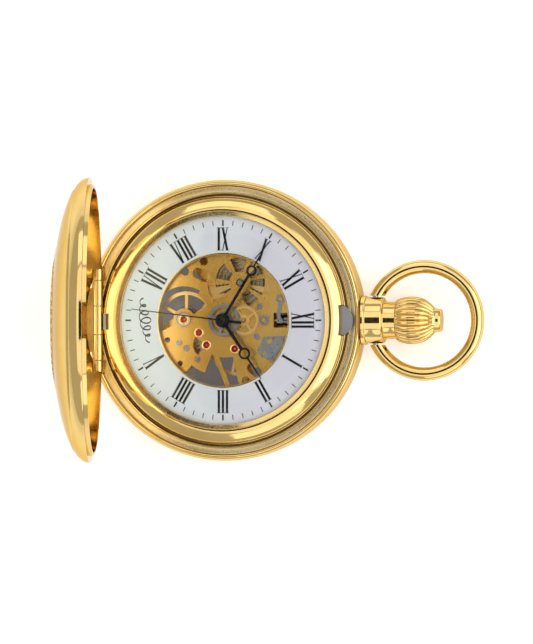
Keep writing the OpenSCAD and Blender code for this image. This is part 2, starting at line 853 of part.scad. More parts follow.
// Shallow round sinks in the dial side of the plate, and its screw holes
module plate_sinks() {
  post(barrel_at, plate_top - plate_sink, 5.4, 1);
  post(minute_at, plate_top - plate_sink, 3.1, 1);
  for (p = plate_screw_at) post(p, plate_z - 1, plate_screw_shank + 0.02, 3);
}

// Small slotted screws on the dial side of the plate
module plate_screws() {
  color("silver") for (p = plate_screw_at) difference() {
    union() {
      post(p, plate_top + 0.01, plate_screw_r, 0.22);
      post(p, plate_z + 0.1, plate_screw_shank, plate_t);
    }
    at(p) rotate(40) box([-1, -0.08, plate_top + 0.13], [1, 0.08, plate_top + 1]);
  }
}

module barrel_bridge() {
  color("goldenrod") difference() {
    union() {
      translate([0, 0, barrel_bridge_z]) linear_extrude(barrel_bridge_t)
        sector(bridge_r, 6.3, 58, 214);
      post(crown_wheel_at, winding_z, 0.6, 0.5);
      post(click_at, winding_z, stud_r, 0.5);
    }
    box([-2.3, 11.9, 2], [2.3, 13.6, 5]);
    post(barrel_at, 2, 0.5, 3);
    for (a = barrel_feet) post(polar(foot_r, a), 2, screw_r + 0.02, 3);
  }
}

module train_bridge() {
  color("goldenrod") difference() {
    translate([0, 0, bridge_z]) linear_extrude(bridge_t) {
      circle(r = 2.2);
      bar(centre, third_at, 2.4);
      bar(third_at, polar(foot_r, train_feet[0]), 1.9);
      bar(centre, escape_at, 2.2);
      bar(escape_at, polar(foot_r, train_feet[1]), 2.6);
      sector(bridge_r, 13.6, -58, 30);
    }
    for (p = [centre, third_at, escape_at]) post(p, 1, jewel_r + 0.02, 3);
    for (a = train_feet) post(polar(foot_r, a), 1, screw_r + 0.02, 4);
  }
}

module pallet_bridge() {
  foot = [2.4, -9];
  color("goldenrod") difference() {
    union() {
      translate([0, 0, pallet_bridge_z]) linear_extrude(pallet_bridge_t)
        bar(pallet_at, foot, 1.4);
      post(foot, pallet_bridge_z, 0.7, plate_z - pallet_bridge_z);
    }
    post(pallet_at, 4, jewel_r - 0.08, 2);
  }
}

module balance_cock() {
  foot = polar(foot_r, cock_foot);
  color("goldenrod") difference() {
    union() {
      translate([0, 0, bridge_z]) linear_extrude(bridge_t) {
        bar(balance_at, foot, 2.8);
        translate(balance_at) circle(r = 2);
      }
      post(foot, bridge_z, 1.4, plate_z - bridge_z);
      post(balance_at + polar(2.75, stud_bearing), bridge_z + 0.1, 0.25, 1.1);
    }
    post(balance_at, 1, 1.07, 3);
    post(foot, 1, screw_r + 0.02, 8);
  }
}

module bridge_screws() {
  color("silver") {
    for (a = train_feet) bridge_screw(polar(foot_r, a), bridge_z, 2);
    for (a = barrel_feet) bridge_screw(polar(foot_r, a), barrel_bridge_z, 1.8);
    bridge_screw(polar(foot_r, cock_foot), bridge_z, 3.5);
  }
}

// Slotted screw whose head lies under a bridge at height z
module bridge_screw(p, z, length) {
  difference() {
    union() {
      post(p, z - screw_head_t, screw_head_r, screw_head_t);
      post(p, z - 0.01, screw_r, length);
    }
    at(p) box([-1, -0.1, z - screw_head_t - 0.1], [1, 0.1, z - screw_head_t + 0.12]);
  }
}

module shock_settings() {
  color("gold") {
    difference() {
      union() {
        post(balance_at, plate_top + joint_gap, 1.45, 0.3);
        post(balance_at, plate_z + 0.05, 0.85, 0.6);
      }
      post(balance_at, plate_z - 1, jewel_r + 0.02, 3);
    }
    difference() {
      post(balance_at, 2.3, 1.05, bridge_z + bridge_t - 2.3);
      post(balance_at, 1, jewel_r + 0.02, 4);
    }
  }
}

module train_jewels() {
  color("crimson") {
    for (p = [third_at, escape_at, pallet_at]) jewel(p, plate_z + 0.05, 0.45, jewel_r);
    for (p = [centre, third_at, escape_at]) jewel(p, bridge_z + 0.05, 0.5, jewel_r);
    jewel(pallet_at, pallet_bridge_z + 0.02, 0.26, jewel_r - 0.1);
    jewel(balance_at, plate_z + 0.1, 0.65, jewel_r);
    jewel(balance_at, 2.4, 0.9, jewel_r);
  }
}

module jewel(p, z, h, r) {
  difference() {
    post(p, z, r, h);
    post(p, z - 0.1, jewel_bore, h + 0.2);
  }
}

// ---------- power ----------

module barrel() {
  drum_r = barrel_teeth * barrel_m / 2 - 0.35;
  color("gold") difference() {
    union() {
      post(barrel_at, drum_z, drum_r, drum_top - drum_z);
      at(barrel_at, 5.05) rotate(barrel_phase)
        linear_extrude(0.4) polygon(gear_points(barrel_teeth, barrel_m, 1));
    }
    post(barrel_at, drum_z + 0.25, drum_r - 0.4, drum_top - drum_z - 0.5);
    post(barrel_at, drum_z - 1, 0.55, 4);
    at(barrel_at, drum_top - 0.5) linear_extrude(1)
      for (i = [0 : 4]) rotate(72 * i) sector(4.6, 1.3, 8, 64);
  }
}

module barrel_arbor() {
  color("silver") {
    post(barrel_at, winding_z - 0.1, 0.45, 3.9);
    post(barrel_at, drum_z + 0.3, 0.5, 0.9);
  }
}

module mainspring() {
  color("slategray") at(barrel_at, drum_z + 0.3) linear_extrude(0.85)
    polygon(spiral_points(1, 5, mainspring_turns, 0.22, 18));
}

module ratchet_wheel() {
  color("silver") difference() {
    at(barrel_at, winding_z) rotate(ratchet_phase)
      linear_extrude(winding_t) polygon(gear_points(ratchet_teeth, winding_m, 1));
    post(barrel_at, 2, 0.47, 2);
  }
}

module ratchet_screw() {
  color("silver") difference() {
    post(barrel_at, winding_z - 0.35, 1, 0.24);
    at(barrel_at) box([-1.2, -0.12, 2.3], [1.2, 0.12, winding_z - 0.22]);
  }
}

module crown_wheel() {
  color("silver") difference() {
    at(crown_wheel_at, winding_z) rotate(crown_wheel_phase)
      linear_extrude(winding_t) polygon(gear_points(crown_wheel_teeth, winding_m, 1));
    post(crown_wheel_at, 2, 0.6 + running, 2);
  }
}

module crown_wheel_screw() {
  color("silver") difference() {
    post(crown_wheel_at, winding_z - 0.35, 1.2, 0.3);
    at(crown_wheel_at) box([-1.4, -0.12, 2.3], [1.4, 0.12, winding_z - 0.22]);
  }
}

module click() {
  color("silver") difference() {
    translate([0, 0, winding_z]) linear_extrude(winding_t - 0.02) {
      translate(click_at) circle(r = 0.8);
      bar(click_at, barrel_at + polar(4.6, 138), 0.5);
      bar(click_at, click_at + [-1.3, 0.5], 0.5);
    }
    post(click_at, 2, stud_r + running, 2);
  }
}

module click_spring() {
  color("silver") translate([0, 0, winding_z]) linear_extrude(winding_t)
    difference() {
      sector(15, 14.7, 156, 178);
      circle(r = 1);
    }
}

// ---------- going train ----------

module centre_wheel() {
  color("gold") difference() {
    union() {
      translate([0, 0, centre_z]) wheel(centre_teeth, centre_m, 0.3, 5, 1.1, 0.5, 0.5);
      translate([0, 0, centre_pinion_z])
        pinion(centre_pinion_teeth, barrel_m, centre_z - centre_pinion_z);
      post(centre, centre_pinion_z, centre_arbor_r, minute_hand_z + hand_t - centre_pinion_z);
    }
    post(centre, centre_pinion_z - 1, seconds_arbor_r + running, 6);
  }
}

module third_wheel() {
  color("gold") {
    at(third_at, third_z) rotate(third_phase)
      wheel(third_teeth, third_m, 0.25, 5, 0.8, 0.45, 0.45);
    at(third_at, third_pinion_z) rotate(third_pinion_phase)
      pinion(third_pinion_teeth, centre_m, 0.42);
    arbor(third_at, arbor_low, arbor_high, pivot_low, pivot_high, third_arbor_r);
  }
}

module fourth_wheel() {
  color("gold") {
    translate([0, 0, fourth_z]) wheel(fourth_teeth, fourth_m, 0.2, 5, 0.9, 0.5, 0.45);
    translate([0, 0, fourth_pinion_z])
      pinion(fourth_pinion_teeth, third_m, fourth_pinion_h);
    post(centre, arbor_low, seconds_arbor_r, seconds_hand_z + hand_t - arbor_low);
    post(centre, pivot_low, pivot_r, 0.5);
  }
}

module escape_wheel() {
  color("gold") {
    at(escape_at, escape_z) linear_extrude(0.2) difference() {
      polygon(escape_points());
      difference() {
        circle(r = 1.25);
        circle(r = 0.5);
        for (a = [45, 135]) rotate(a) square([4, 0.25], center = true);
      }
    }
    at(escape_at, escape_pinion_z) rotate(escape_pinion_phase)
      pinion(escape_pinion_teeth, fourth_m, 0.45);
    arbor(escape_at, arbor_low, 5.95, pivot_low, pivot_high, 0.22);
  }
}

module pallet_fork() {
  tail = bearing(pallet_at, balance_at);
  color("silver") {
    at([0, 0], pallet_z) linear_extrude(pallet_t) difference() {
      union() {
        translate(pallet_at) circle(r = 0.35);
        for (side = [-1, 1]) bar(pallet_at, escape_at + polar(2.85, stone_bearing(side)), 0.45);
        bar(pallet_at, pallet_at + polar(2.3, tail), 0.4);
        for (side = [-1, 1]) bar(pallet_at + polar(2.3, tail),
          pallet_at + polar(2.7, tail) + polar(0.32 * side, tail + 90), 0.25);
      }
      stone_outlines();
    }
    post(pallet_at, 4.95, 0.2, 1);
    post(pallet_at, 4.65, pivot_r, 1.8);
  }
}

// Direction from the escape wheel's centre to the pallet stone on the given side
function stone_bearing(side) = bearing(escape_at, pallet_at) + 30 * side;

module stone_outlines() {
  for (side = [-1, 1]) translate(escape_at) rotate(stone_bearing(side))
    translate([stone_start, -0.14]) square([stone_end - stone_start, 0.28]);
}

module pallet_stones() {
  color("crimson") at([0, 0], pallet_z) linear_extrude(pallet_t) stone_outlines();
}

module balance_wheel() {
  r = balance_d / 2;
  to_pallet = bearing(balance_at, pallet_at);
  color("gold") {
    at(balance_at, balance_z) linear_extrude(balance_t) {
      difference() {
        circle(r = r);
        circle(r = r - 0.6);
      }
      for (a = [0, 60, 120]) rotate(a) square([2 * r - 0.6, 0.5], center = true);
      circle(r = 0.8);
    }
    post(balance_at, 4.5, roller_r, 0.25);
    post(balance_at + polar(impulse_r, to_pallet), 4.5, 0.1, 0.53);
    arbor(balance_at, 3.5, 5.95, pivot_low, 6.5, arbor_r);
    post(balance_at, hairspring_z, 0.5, 0.8);
  }
}

module hairspring() {
  color("steelblue") at(balance_at, hairspring_z) linear_extrude(0.2)
    rotate(stud_bearing) polygon(spiral_points(0.6, 2.42, hairspring_turns, 0.08, 18));
}

module regulator() {
  color("silver") at(balance_at, bridge_z - 0.3) linear_extrude(0.25) difference() {
    union() {
      circle(r = 1.7);
      bar([0, 0], polar(4.2, -30), 0.6);
    }
    circle(r = 1.05 + running);
  }
}

// ---------- dial and hands ----------

module dial() {
  color("lavender") ring(dial_r, aperture_d / 2, dial_z, dial_t);
}

// Flat hand along +Y: arm, open ring and thin tapered tip
module hand(hub_r, bore_r, ring_at, ring_r, arm_w, length) {
  tip_w = arm_w * 0.36;
  linear_extrude(hand_t) difference() {
    union() {
      circle(r = hub_r);
      translate([-arm_w / 2, 0]) square([arm_w, ring_at]);
      translate([0, ring_at]) circle(r = ring_r);
      translate([0, ring_at]) polygon([[-tip_w, 0], [tip_w, 0],
        [tip_w / 4, length - ring_at], [-tip_w / 4, length - ring_at]]);
    }
    circle(r = bore_r);
    translate([0, ring_at]) circle(r = ring_r - 0.35);
  }
}

module hour_hand() {
  color("black") translate([0, 0, hour_hand_z]) rotate(-hour_angle)
    hand(1.3, hour_pipe_r + 0.01, 7.1, 1.05, 0.6, hour_length);
}

module minute_hand() {
  color("black") translate([0, 0, minute_hand_z]) rotate(-minute_angle)
    hand(1.2, cannon_pipe_r + 0.01, 10.3, 0.95, 0.5, minute_length);
}

module seconds_hand() {
  color("black") translate([0, 0, seconds_hand_z]) rotate(-seconds_angle)
    linear_extrude(hand_t) difference() {
      union() {
        circle(r = 1.1);
        translate([-0.24, -3.6]) square([0.48, 3.6]);
        polygon([[-0.14, 0], [0.14, 0], [0.07, seconds_length], [-0.07, seconds_length]]);
      }
      circle(r = seconds_arbor_r + 0.01);
    }
}

case_band();
back_bezel();
back_crystal();
back_gasket();
front_bezel();
front_crystal();
movement_ring();
ring_screws_set();
pendant();
bow_pins();
bow();
hinge_pin();
lift_spring();
catch();
front_cover();
stem_gasket();
crown();
stem();
winding_pinion();
sliding_clutch();
yoke();
setting_lever();
setting_bridge();
setting_wheel();
minute_wheel();
hour_wheel();
cannon_pinion();
main_plate();
barrel();
barrel_arbor();
mainspring();
ratchet_wheel();
ratchet_screw();
crown_wheel();
crown_wheel_screw();
click();
click_spring();
barrel_bridge();
train_bridge();
centre_wheel();
third_wheel();
fourth_wheel();
escape_wheel();
pallet_fork();
pallet_stones();
pallet_bridge();
balance_wheel();
hairspring();
balance_cock();
regulator();
shock_settings();
train_jewels();
bridge_screws();
plate_screws();
dial();
hour_hand();
minute_hand();
seconds_hand();
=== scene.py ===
"""Hunter-case pocket watch with an open front cover, seen from above its dial."""

import json
import math

import bmesh
import bpy
from mathutils import Matrix, Vector


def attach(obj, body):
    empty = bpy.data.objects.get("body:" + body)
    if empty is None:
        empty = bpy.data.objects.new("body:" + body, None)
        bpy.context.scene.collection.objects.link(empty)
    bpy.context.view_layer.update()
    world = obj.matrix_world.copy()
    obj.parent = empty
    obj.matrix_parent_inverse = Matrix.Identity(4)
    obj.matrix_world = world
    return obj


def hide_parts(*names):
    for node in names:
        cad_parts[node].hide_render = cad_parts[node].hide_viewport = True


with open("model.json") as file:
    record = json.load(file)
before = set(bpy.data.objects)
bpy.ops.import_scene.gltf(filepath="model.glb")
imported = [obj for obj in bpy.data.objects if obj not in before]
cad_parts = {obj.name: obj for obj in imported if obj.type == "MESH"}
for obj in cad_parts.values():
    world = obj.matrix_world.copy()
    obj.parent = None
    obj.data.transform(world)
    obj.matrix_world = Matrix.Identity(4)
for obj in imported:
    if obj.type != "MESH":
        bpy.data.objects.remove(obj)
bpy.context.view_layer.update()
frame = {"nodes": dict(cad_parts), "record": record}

MM = 0.001

# ---------------------------------------------------------------- sizes, in millimetres
# Radii are measured from the watch's axis, and heights from the back of the case.

CASE_R = 25.0
STEM_Z = 4.8

# Directions round the case in degrees: 3 o'clock is at 0 and 12 o'clock at 90
CATCH_AT = 90
HINGE_AT = 270
SPRING_AT = 270.5

# Dial, with a thin metal rim round its opening
DIAL_TOP = 7.9
DIAL_UNDER = 7.5
DIAL_R = 18.9
APERTURE_R = 11.75
APERTURE_RIM_R = APERTURE_R + 0.27
DIAL_BORE_R = APERTURE_R + 0.28
APERTURE_RIM_TOP = 7.93

# Front cover, drawn closed and then turned open about its hinge
COVER_R = 24.9
COVER_DEPTH = 6.5
COVER_WALL = 0.6
COVER_Z = 7.8
COVER_OPEN = math.radians(80)
DOME_POWER = 2.15
HINGE_Y = -22.8
HINGE_Z = 7.8
HINGE_WALL_Y = -23.65
HINGE_RISE = 0.9
KNUCKLE_R = 0.85

# Bow: a ring of round wire, placed by where its middle line would cross the pivots' line
BOW_R = 9.5
BOW_WIRE_R = 1.2
BOW_PIVOT_Y = 27.0
BOW_PINCH = 3.6
BOW_CENTRE_Y = BOW_PIVOT_Y + math.sqrt(BOW_R**2 - BOW_PINCH**2)


# ---------------------------------------------------------------- mesh helpers


def finish_mesh(name, verts, faces, crease=35):
    """Mesh object from points in millimetres, with smooth shading between soft edges."""
    mesh = bpy.data.meshes.new(name)
    mesh.from_pydata([tuple(c * MM for c in v) for v in verts], [], faces)
    bm = bmesh.new()
    bm.from_mesh(mesh)
    bmesh.ops.recalc_face_normals(bm, faces=bm.faces)
    bm.to_mesh(mesh)
    bm.free()
    for polygon in mesh.polygons:
        polygon.use_smooth = True
    mesh.set_sharp_from_angle(angle=math.radians(crease))
    obj = bpy.data.objects.new(name, mesh)
    bpy.context.scene.collection.objects.link(obj)
    return obj


def piece(obj, body, slot, materials, *nodes):
    """Puts a finished object on its body with its materials and hides the CAD nodes it replaces;
    slot is not used.
    """
    for material in materials:
        obj.data.materials.append(material)
    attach(obj, body)
    if nodes:
        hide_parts(*nodes)
    return obj


FILLET_STEPS = 3
LARGEST_CUT = 0.4


def fillet(points, radius, closed=True):
    """Rounds the corners of a profile; an open profile keeps its two end points."""
    n = len(points)
    out = []
    for i, p in enumerate(points):
        if not closed and i in (0, n - 1):
            out.append(p)
            continue
        before, after = points[i - 1], points[(i + 1) % n]
        to_before, to_after = math.dist(p, before), math.dist(p, after)
        cut = min(radius, LARGEST_CUT * to_before, LARGEST_CUT * to_after)
        start = [p[k] + (before[k] - p[k]) * cut / to_before for k in (0, 1)]
        end = [p[k] + (after[k] - p[k]) * cut / to_after for k in (0, 1)]
        for s in range(FILLET_STEPS + 1):
            t = s / FILLET_STEPS
            out.append(
                tuple(
                    (1 - t) ** 2 * start[k] + 2 * t * (1 - t) * p[k] + t * t * end[k]
                    for k in (0, 1)
                )
            )
    return out


def grid_faces(columns, rows, wrap_columns, wrap_rows):
    """Quads of a grid whose vertex (c, r) has the index c * rows + r."""
    faces = []
    for c in range(columns if wrap_columns else columns - 1):
        d = (c + 1) % columns
        for r in range(rows if wrap_rows else rows - 1):
            s = (r + 1) % rows
            faces.append((c * rows + r, d * rows + r, d * rows + s, c * rows + s))
    return faces


def circle_angles(count, extra=()):
    """Angles round a circle in degrees, with extra ones for the edges of notches."""
    even = {360 * i / count for i in range(count)}
    return sorted(even | {a % 360 for a in extra})


NOTCH_EDGE = 0.05


def notch_edges(middle, half):
    """Angles just inside and just outside both edges of a notch, in degrees."""
    offsets = (half - NOTCH_EDGE, half + NOTCH_EDGE)
    return [middle + side * offset for side in (-1, 1) for offset in offsets]


def around(column, angle):
    """Points (radius, height) placed at an angle round Z, in degrees."""
    c, s = math.cos(math.radians(angle)), math.sin(math.radians(angle))
    return [(r * c, r * s, z) for r, z in column]


def turned(profile_at, angles):
    """Points and faces of a ring round Z from a closed profile at each angle."""
    verts = []
    for a in angles:
        verts += around(profile_at(a), a)
    rows = len(verts) // len(angles)
    return verts, grid_faces(len(angles), rows, True, True)


def ring(profile, angles):
    """Points and faces of a ring round Z that has the same closed profile all round."""
    return turned(lambda angle: profile, angles)


def close_ends(verts, faces, columns, rows, first, last):
    """Closes the first and the last row of a grid round Z, each with a fan to one point."""
    count = len(verts)
    verts += [first, last]
    for c in range(columns):
        d = (c + 1) % columns
        faces.append((count, d * rows, c * rows))
        faces.append((count + 1, c * rows + rows - 1, d * rows + rows - 1))


def solid_of_revolution(profile, angles):
    """Points and faces round Z from a profile that starts and ends on the axis."""
    inner = profile[1:-1]
    verts, rows = [], len(inner)
    for a in angles:
        verts += around(inner, a)
    faces = grid_faces(len(angles), rows, True, False)
    first, last = (0, 0, profile[0][1]), (0, 0, profile[-1][1])
    close_ends(verts, faces, len(angles), rows, first, last)
    return verts, faces


def along_y(verts):
    """Turns points drawn round Z so that they lie round the stem's line along Y."""
    return [(x, z, STEM_Z - y) for x, y, z in verts]


def along_x(verts, y, z):
    """Turns points drawn round Z so that they lie round a line along X."""
    return [(h, y + u, z + v) for u, v, h in verts]


def moved(verts, dx, dy, dz=0.0):
    """Points shifted by the same distances."""
    return [(x + dx, y + dy, z + dz) for x, y, z in verts]


def join(parts):
    """Joins several (points, faces) pairs."""
    verts, faces = [], []
    for part_verts, part_faces in parts:
        faces += [tuple(i + len(verts) for i in face) for face in part_faces]
        verts += part_verts
    return verts, faces


def prism(outline, z0, z1):
    """Points and faces of an upright prism over a flat outline."""
    n = len(outline)
    verts = [(x, y, z0) for x, y in outline] + [(x, y, z1) for x, y in outline]
    faces = [tuple(range(n - 1, -1, -1)), tuple(range(n, 2 * n))]
    faces += [(i, (i + 1) % n, n + (i + 1) % n, n + i) for i in range(n)]
    return verts, faces


def block(lo, hi):
    """Points and faces of a box between two opposite corners."""
    outline = [(lo[0], lo[1]), (hi[0], lo[1]), (hi[0], hi[1]), (lo[0], hi[1])]
    return prism(outline, lo[2], hi[2])


def ridge(value, middle, width):
    """Bell curve of height 1 about its middle."""
    return math.exp(-(((value - middle) / width) ** 2))


def smooth_step(t):
    """Rises smoothly from 0 at 0 to 1 at 1."""
    t = max(0.0, min(1.0, t))
    return t * t * (3 - 2 * t)


# ---------------------------------------------------------------- materials

GRAIN_DEPTH = 0.01


def node_material(name):
    """New material with its nodes, links, main shader and texture coordinates."""
    material = bpy.data.materials.new(name)
    material.use_nodes = True
    nodes, links = material.node_tree.nodes, material.node_tree.links
    shader = nodes["Principled BSDF"]
    coords = nodes.new("ShaderNodeTexCoord")
    return material, nodes, links, shader, coords


def add_noise(nodes, links, coords, scale, detail, stretch=(1, 1, 1)):
    """Noise fixed to the object, about 0.5 on average."""
    mapping = nodes.new("ShaderNodeMapping")
    mapping.inputs["Scale"].default_value = stretch
    links.new(coords.outputs["Object"], mapping.inputs["Vector"])
    noise = nodes.new("ShaderNodeTexNoise")
    noise.inputs["Scale"].default_value = scale
    noise.inputs["Detail"].default_value = detail
    links.new(mapping.outputs["Vector"], noise.inputs["Vector"])
    return noise.outputs["Fac"]


def add_ramp(nodes, links, value, low, high, start=0.3, end=0.7):
    """Blend from one colour to another as a value goes from start to end."""
    ramp = nodes.new("ShaderNodeValToRGB")
    ramp.color_ramp.elements[0].color = (*low, 1)
    ramp.color_ramp.elements[1].color = (*high, 1)
    ramp.color_ramp.elements[0].position = start
    ramp.color_ramp.elements[1].position = end
    links.new(value, ramp.inputs["Fac"])
    return ramp.outputs["Color"]


def add_range(nodes, links, value, low, high, start=0.3, end=0.7):
    """Number that goes from low to high as a value goes from start to end."""
    ranged = nodes.new("ShaderNodeMapRange")
    ranged.inputs["From Min"].default_value = start
    ranged.inputs["From Max"].default_value = end
    ranged.inputs["To Min"].default_value = low
    ranged.inputs["To Max"].default_value = high
    links.new(value, ranged.inputs["Value"])
    return ranged.outputs["Result"]


def add_bump(nodes, links, value, shader, strength):
    """Fine relief in the surface of a shader."""
    bump = nodes.new("ShaderNodeBump")
    bump.inputs["Strength"].default_value = strength
    bump.inputs["Distance"].default_value = GRAIN_DEPTH * MM
    links.new(value, bump.inputs["Height"])
    links.new(bump.outputs["Normal"], shader.inputs["Normal"])


def metal(name, low, high, rough, grain_scale, bump, stretch=(1, 1, 1), edge=(1, 1, 1)):
    """Metal with cloudy colour between low and high, uneven polish and a fine grain."""
    material, nodes, links, shader, coords = node_material(name)
    shader.inputs["Metallic"].default_value = 1.0
    shader.inputs["Specular Tint"].default_value = (*edge, 1)
    cloud = add_noise(nodes, links, coords, 160, 4.0)
    grain = add_noise(nodes, links, coords, grain_scale, 2.0, stretch)
    links.new(add_ramp(nodes, links, cloud, low, high), shader.inputs["Base Color"])
    links.new(add_range(nodes, links, grain, *rough), shader.inputs["Roughness"])
    add_bump(nodes, links, grain, shader, bump)
    return material


def coated(name, low, high, rough, scale):
    """Paint, enamel or rubber with slight unevenness."""
    material, nodes, links, shader, coords = node_material(name)
    cloud = add_noise(nodes, links, coords, scale, 3.0)
    links.new(add_ramp(nodes, links, cloud, low, high), shader.inputs["Base Color"])
    links.new(add_range(nodes, links, cloud, *rough), shader.inputs["Roughness"])
    return material


def crystal_material(name, tint):
    """Clear glass that lets light straight through and mirrors at its edges."""
    material, nodes, links, shader, coords = node_material(name)
    nodes.remove(shader)
    clear = nodes.new("ShaderNodeBsdfTransparent")
    clear.inputs["Color"].default_value = (*tint, 1)
    mirror = nodes.new("ShaderNodeBsdfGlossy")
    smudge = add_noise(nodes, links, coords, 90, 3.0)
    links.new(add_range(nodes, links, smudge, 0.01, 0.05), mirror.inputs["Roughness"])
    facing = nodes.new("ShaderNodeLayerWeight")
    facing.inputs["Blend"].default_value = 0.5
    edge = nodes.new("ShaderNodeMath")
    edge.operation = "POWER"
    links.new(facing.outputs["Facing"], edge.inputs[0])
    edge.inputs[1].default_value = 5.0
    mirrored = add_range(nodes, links, edge.outputs["Value"], 0.02, 1.0, 0.0, 1.0)
    mix = nodes.new("ShaderNodeMixShader")
    links.new(mirrored, mix.inputs["Fac"])
    links.new(clear.outputs["BSDF"], mix.inputs[1])
    links.new(mirror.outputs["BSDF"], mix.inputs[2])
    links.new(mix.outputs["Shader"], nodes["Material Output"].inputs["Surface"])
    return material


def dial_material():
    """Pearly enamel with a painted sweep: lighter and green towards 6 o'clock, to make up for the
    open cover's shade, and lilac towards 12, as a painted reflection.
    """
    material, nodes, links, shader, coords = node_material("dial_enamel")
    split = nodes.new("ShaderNodeSeparateXYZ")
    links.new(coords.outputs["Object"], split.inputs["Vector"])
    cloud = add_noise(nodes, links, coords, 110, 2.0)
    edge_y = DIAL_R * MM
    across = add_range(nodes, links, split.outputs["Y"], 0.0, 1.0, -edge_y, edge_y)
    mix = nodes.new("ShaderNodeMath")
    mix.operation = "MULTIPLY_ADD"
    links.new(cloud, mix.inputs[0])
    mix.inputs[1].default_value = 0.5
    links.new(across, mix.inputs[2])
    # The sweep from green to lilac along Y is painted light: a painted lift against the cover's
    # shade and a painted reflection; the cloud is the enamel's own unevenness
    green, lilac = (0.64, 0.74, 0.78), (0.57, 0.575, 0.67)
    colour = add_ramp(nodes, links, mix.outputs["Value"], green, lilac, 0.3, 1.1)
    links.new(colour, shader.inputs["Base Color"])
    shader.inputs["Roughness"].default_value = 0.38
    return material


GOLD = metal(
    "polished_gold", (0.70, 0.50, 0.185), (0.76, 0.565, 0.235),
    rough=(0.06, 0.13), grain_scale=2500, bump=0.03, edge=(0.74, 0.60, 0.40),
)
GROOVE_GOLD = metal(
    "groove_gold", (0.74, 0.58, 0.31), (0.84, 0.68, 0.39),
    rough=(0.26, 0.34), grain_scale=3000, bump=0.08,
)
INNER_GOLD = metal(
    "inner_gold", (0.84, 0.72, 0.48), (0.90, 0.79, 0.56),
    rough=(0.14, 0.24), grain_scale=2500, bump=0.03,
)
# Dark, matte gold: painted shade on the ground between the cover's raised ornament
GROUND_SHADE_GOLD = metal(
    "ground_shade_gold", (0.30, 0.20, 0.07), (0.44, 0.30, 0.11),
    rough=(0.4, 0.6), grain_scale=7000, bump=0.4,
)
# Near-black gold: painted shade in the narrow foot groove and on the broad groove's inner wall
SHADED_GOLD = metal(
    "shaded_gold", (0.10, 0.065, 0.03), (0.18, 0.12, 0.05),
    rough=(0.4, 0.6), grain_scale=3000, bump=0.1,
)
GILT = metal(
    "gilt_plate", (0.74, 0.44, 0.10), (0.86, 0.56, 0.17),
    rough=(0.22, 0.40), grain_scale=9000, bump=0.15,
)
WHEEL_GILT = metal(
    "gilt_wheel", (0.90, 0.60, 0.22), (0.97, 0.72, 0.32),
    rough=(0.29, 0.34), grain_scale=6000, bump=0.03,
)
STEEL = metal(
    "grained_steel", (0.30, 0.30, 0.31), (0.40, 0.40, 0.42),
    rough=(0.32, 0.4), grain_scale=4000, bump=0.05, stretch=(8, 1, 1),
)
POLISHED_STEEL = metal(
    "polished_steel", (0.34, 0.34, 0.35), (0.42, 0.42, 0.44),
    rough=(0.26, 0.32), grain_scale=3000, bump=0.02,
)
SPRING_STEEL = metal(
    "spring_steel", (0.30, 0.30, 0.32), (0.48, 0.48, 0.50),
    rough=(0.2, 0.35), grain_scale=3000, bump=0.1,
)
BLUED = metal(
    "blued_spring", (0.06, 0.09, 0.26), (0.12, 0.18, 0.42),
    rough=(0.15, 0.25), grain_scale=3000, bump=0.05,
)
DARK_STEEL = metal(
    "dark_steel", (0.10, 0.10, 0.11), (0.2, 0.2, 0.21),
    rough=(0.2, 0.35), grain_scale=4000, bump=0.15,
)
RING_METAL = metal(
    "ring_metal", (0.45, 0.45, 0.44), (0.6, 0.6, 0.59),
    rough=(0.3, 0.45), grain_scale=5000, bump=0.15,
)
RUBY = coated("ruby", (0.22, 0.006, 0.015), (0.42, 0.02, 0.04), (0.06, 0.14), 900)
BLACK = coated("black_paint", (0.004, 0.004, 0.005), (0.012, 0.012, 0.014), (0.25, 0.4), 700)
BLACK.node_tree.nodes["Principled BSDF"].inputs["Specular IOR Level"].default_value = 0.2
RUBBER = coated("rubber", (0.015, 0.015, 0.015), (0.04, 0.04, 0.04), (0.6, 0.8), 900)
CRYSTAL = crystal_material("crystal", (0.985, 0.99, 0.99))
# Back glass with a grey tint: painted shade that darkens the floor seen through the movement
SHADE_TINT_CRYSTAL = crystal_material("shade_tint_crystal", (0.60, 0.57, 0.56))
DIAL = dial_material()

SLOT_MATERIALS = {
    "case_gold": GOLD,
    "cover_gold": GOLD,
    "crown_gold": GOLD,
    "plate_gilt": GILT,
    "wheel_gilt": WHEEL_GILT,
    "steel": STEEL,
    "polished_steel": POLISHED_STEEL,
    "spring_steel": SPRING_STEEL,
    "blued_spring": BLUED,
    "dark_steel": DARK_STEEL,
    "ring_metal": RING_METAL,
    "ruby": RUBY,
    "crystal": CRYSTAL,
    "dial_enamel": DIAL,
    "hand_black": BLACK,
    "gasket": RUBBER,
}

# ---------------------------------------------------------------- case rings
# Profiles are lists of (radius, height).

# Grooves in the rim of the case middle: a broad one, and a small one at the bezel's foot
GROOVE_Z = 6.45
GROOVE_IN_R = 22.8
GROOVE_OUT_R = 23.85
FOOT_GROOVE_Z = 6.6
HINGE_CUT_R = 22.95
HINGE_CUT_X = 10
HINGE_CUT_HALF = math.degrees(math.asin(HINGE_CUT_X / CASE_R))
BAND_ANGLES = circle_angles(360, notch_edges(HINGE_AT, HINGE_CUT_HALF))

# Parts of the grooves that get another gold, as ranges of radius and of height: the floor a
# rougher, paler gold, and the foot groove and the inner wall a near-black gold that is painted
# shade
GROOVE_FLOOR = ((22.84, 23.9), (6.3, 6.8))
GROOVE_INNER_WALL = ((22.7, 22.84), (0, 6.8))
FOOT_GROOVE = ((22.02, 22.5), (0, 7.15))
BAND_GOLDS = [GOLD, GROOVE_GOLD, SHADED_GOLD]


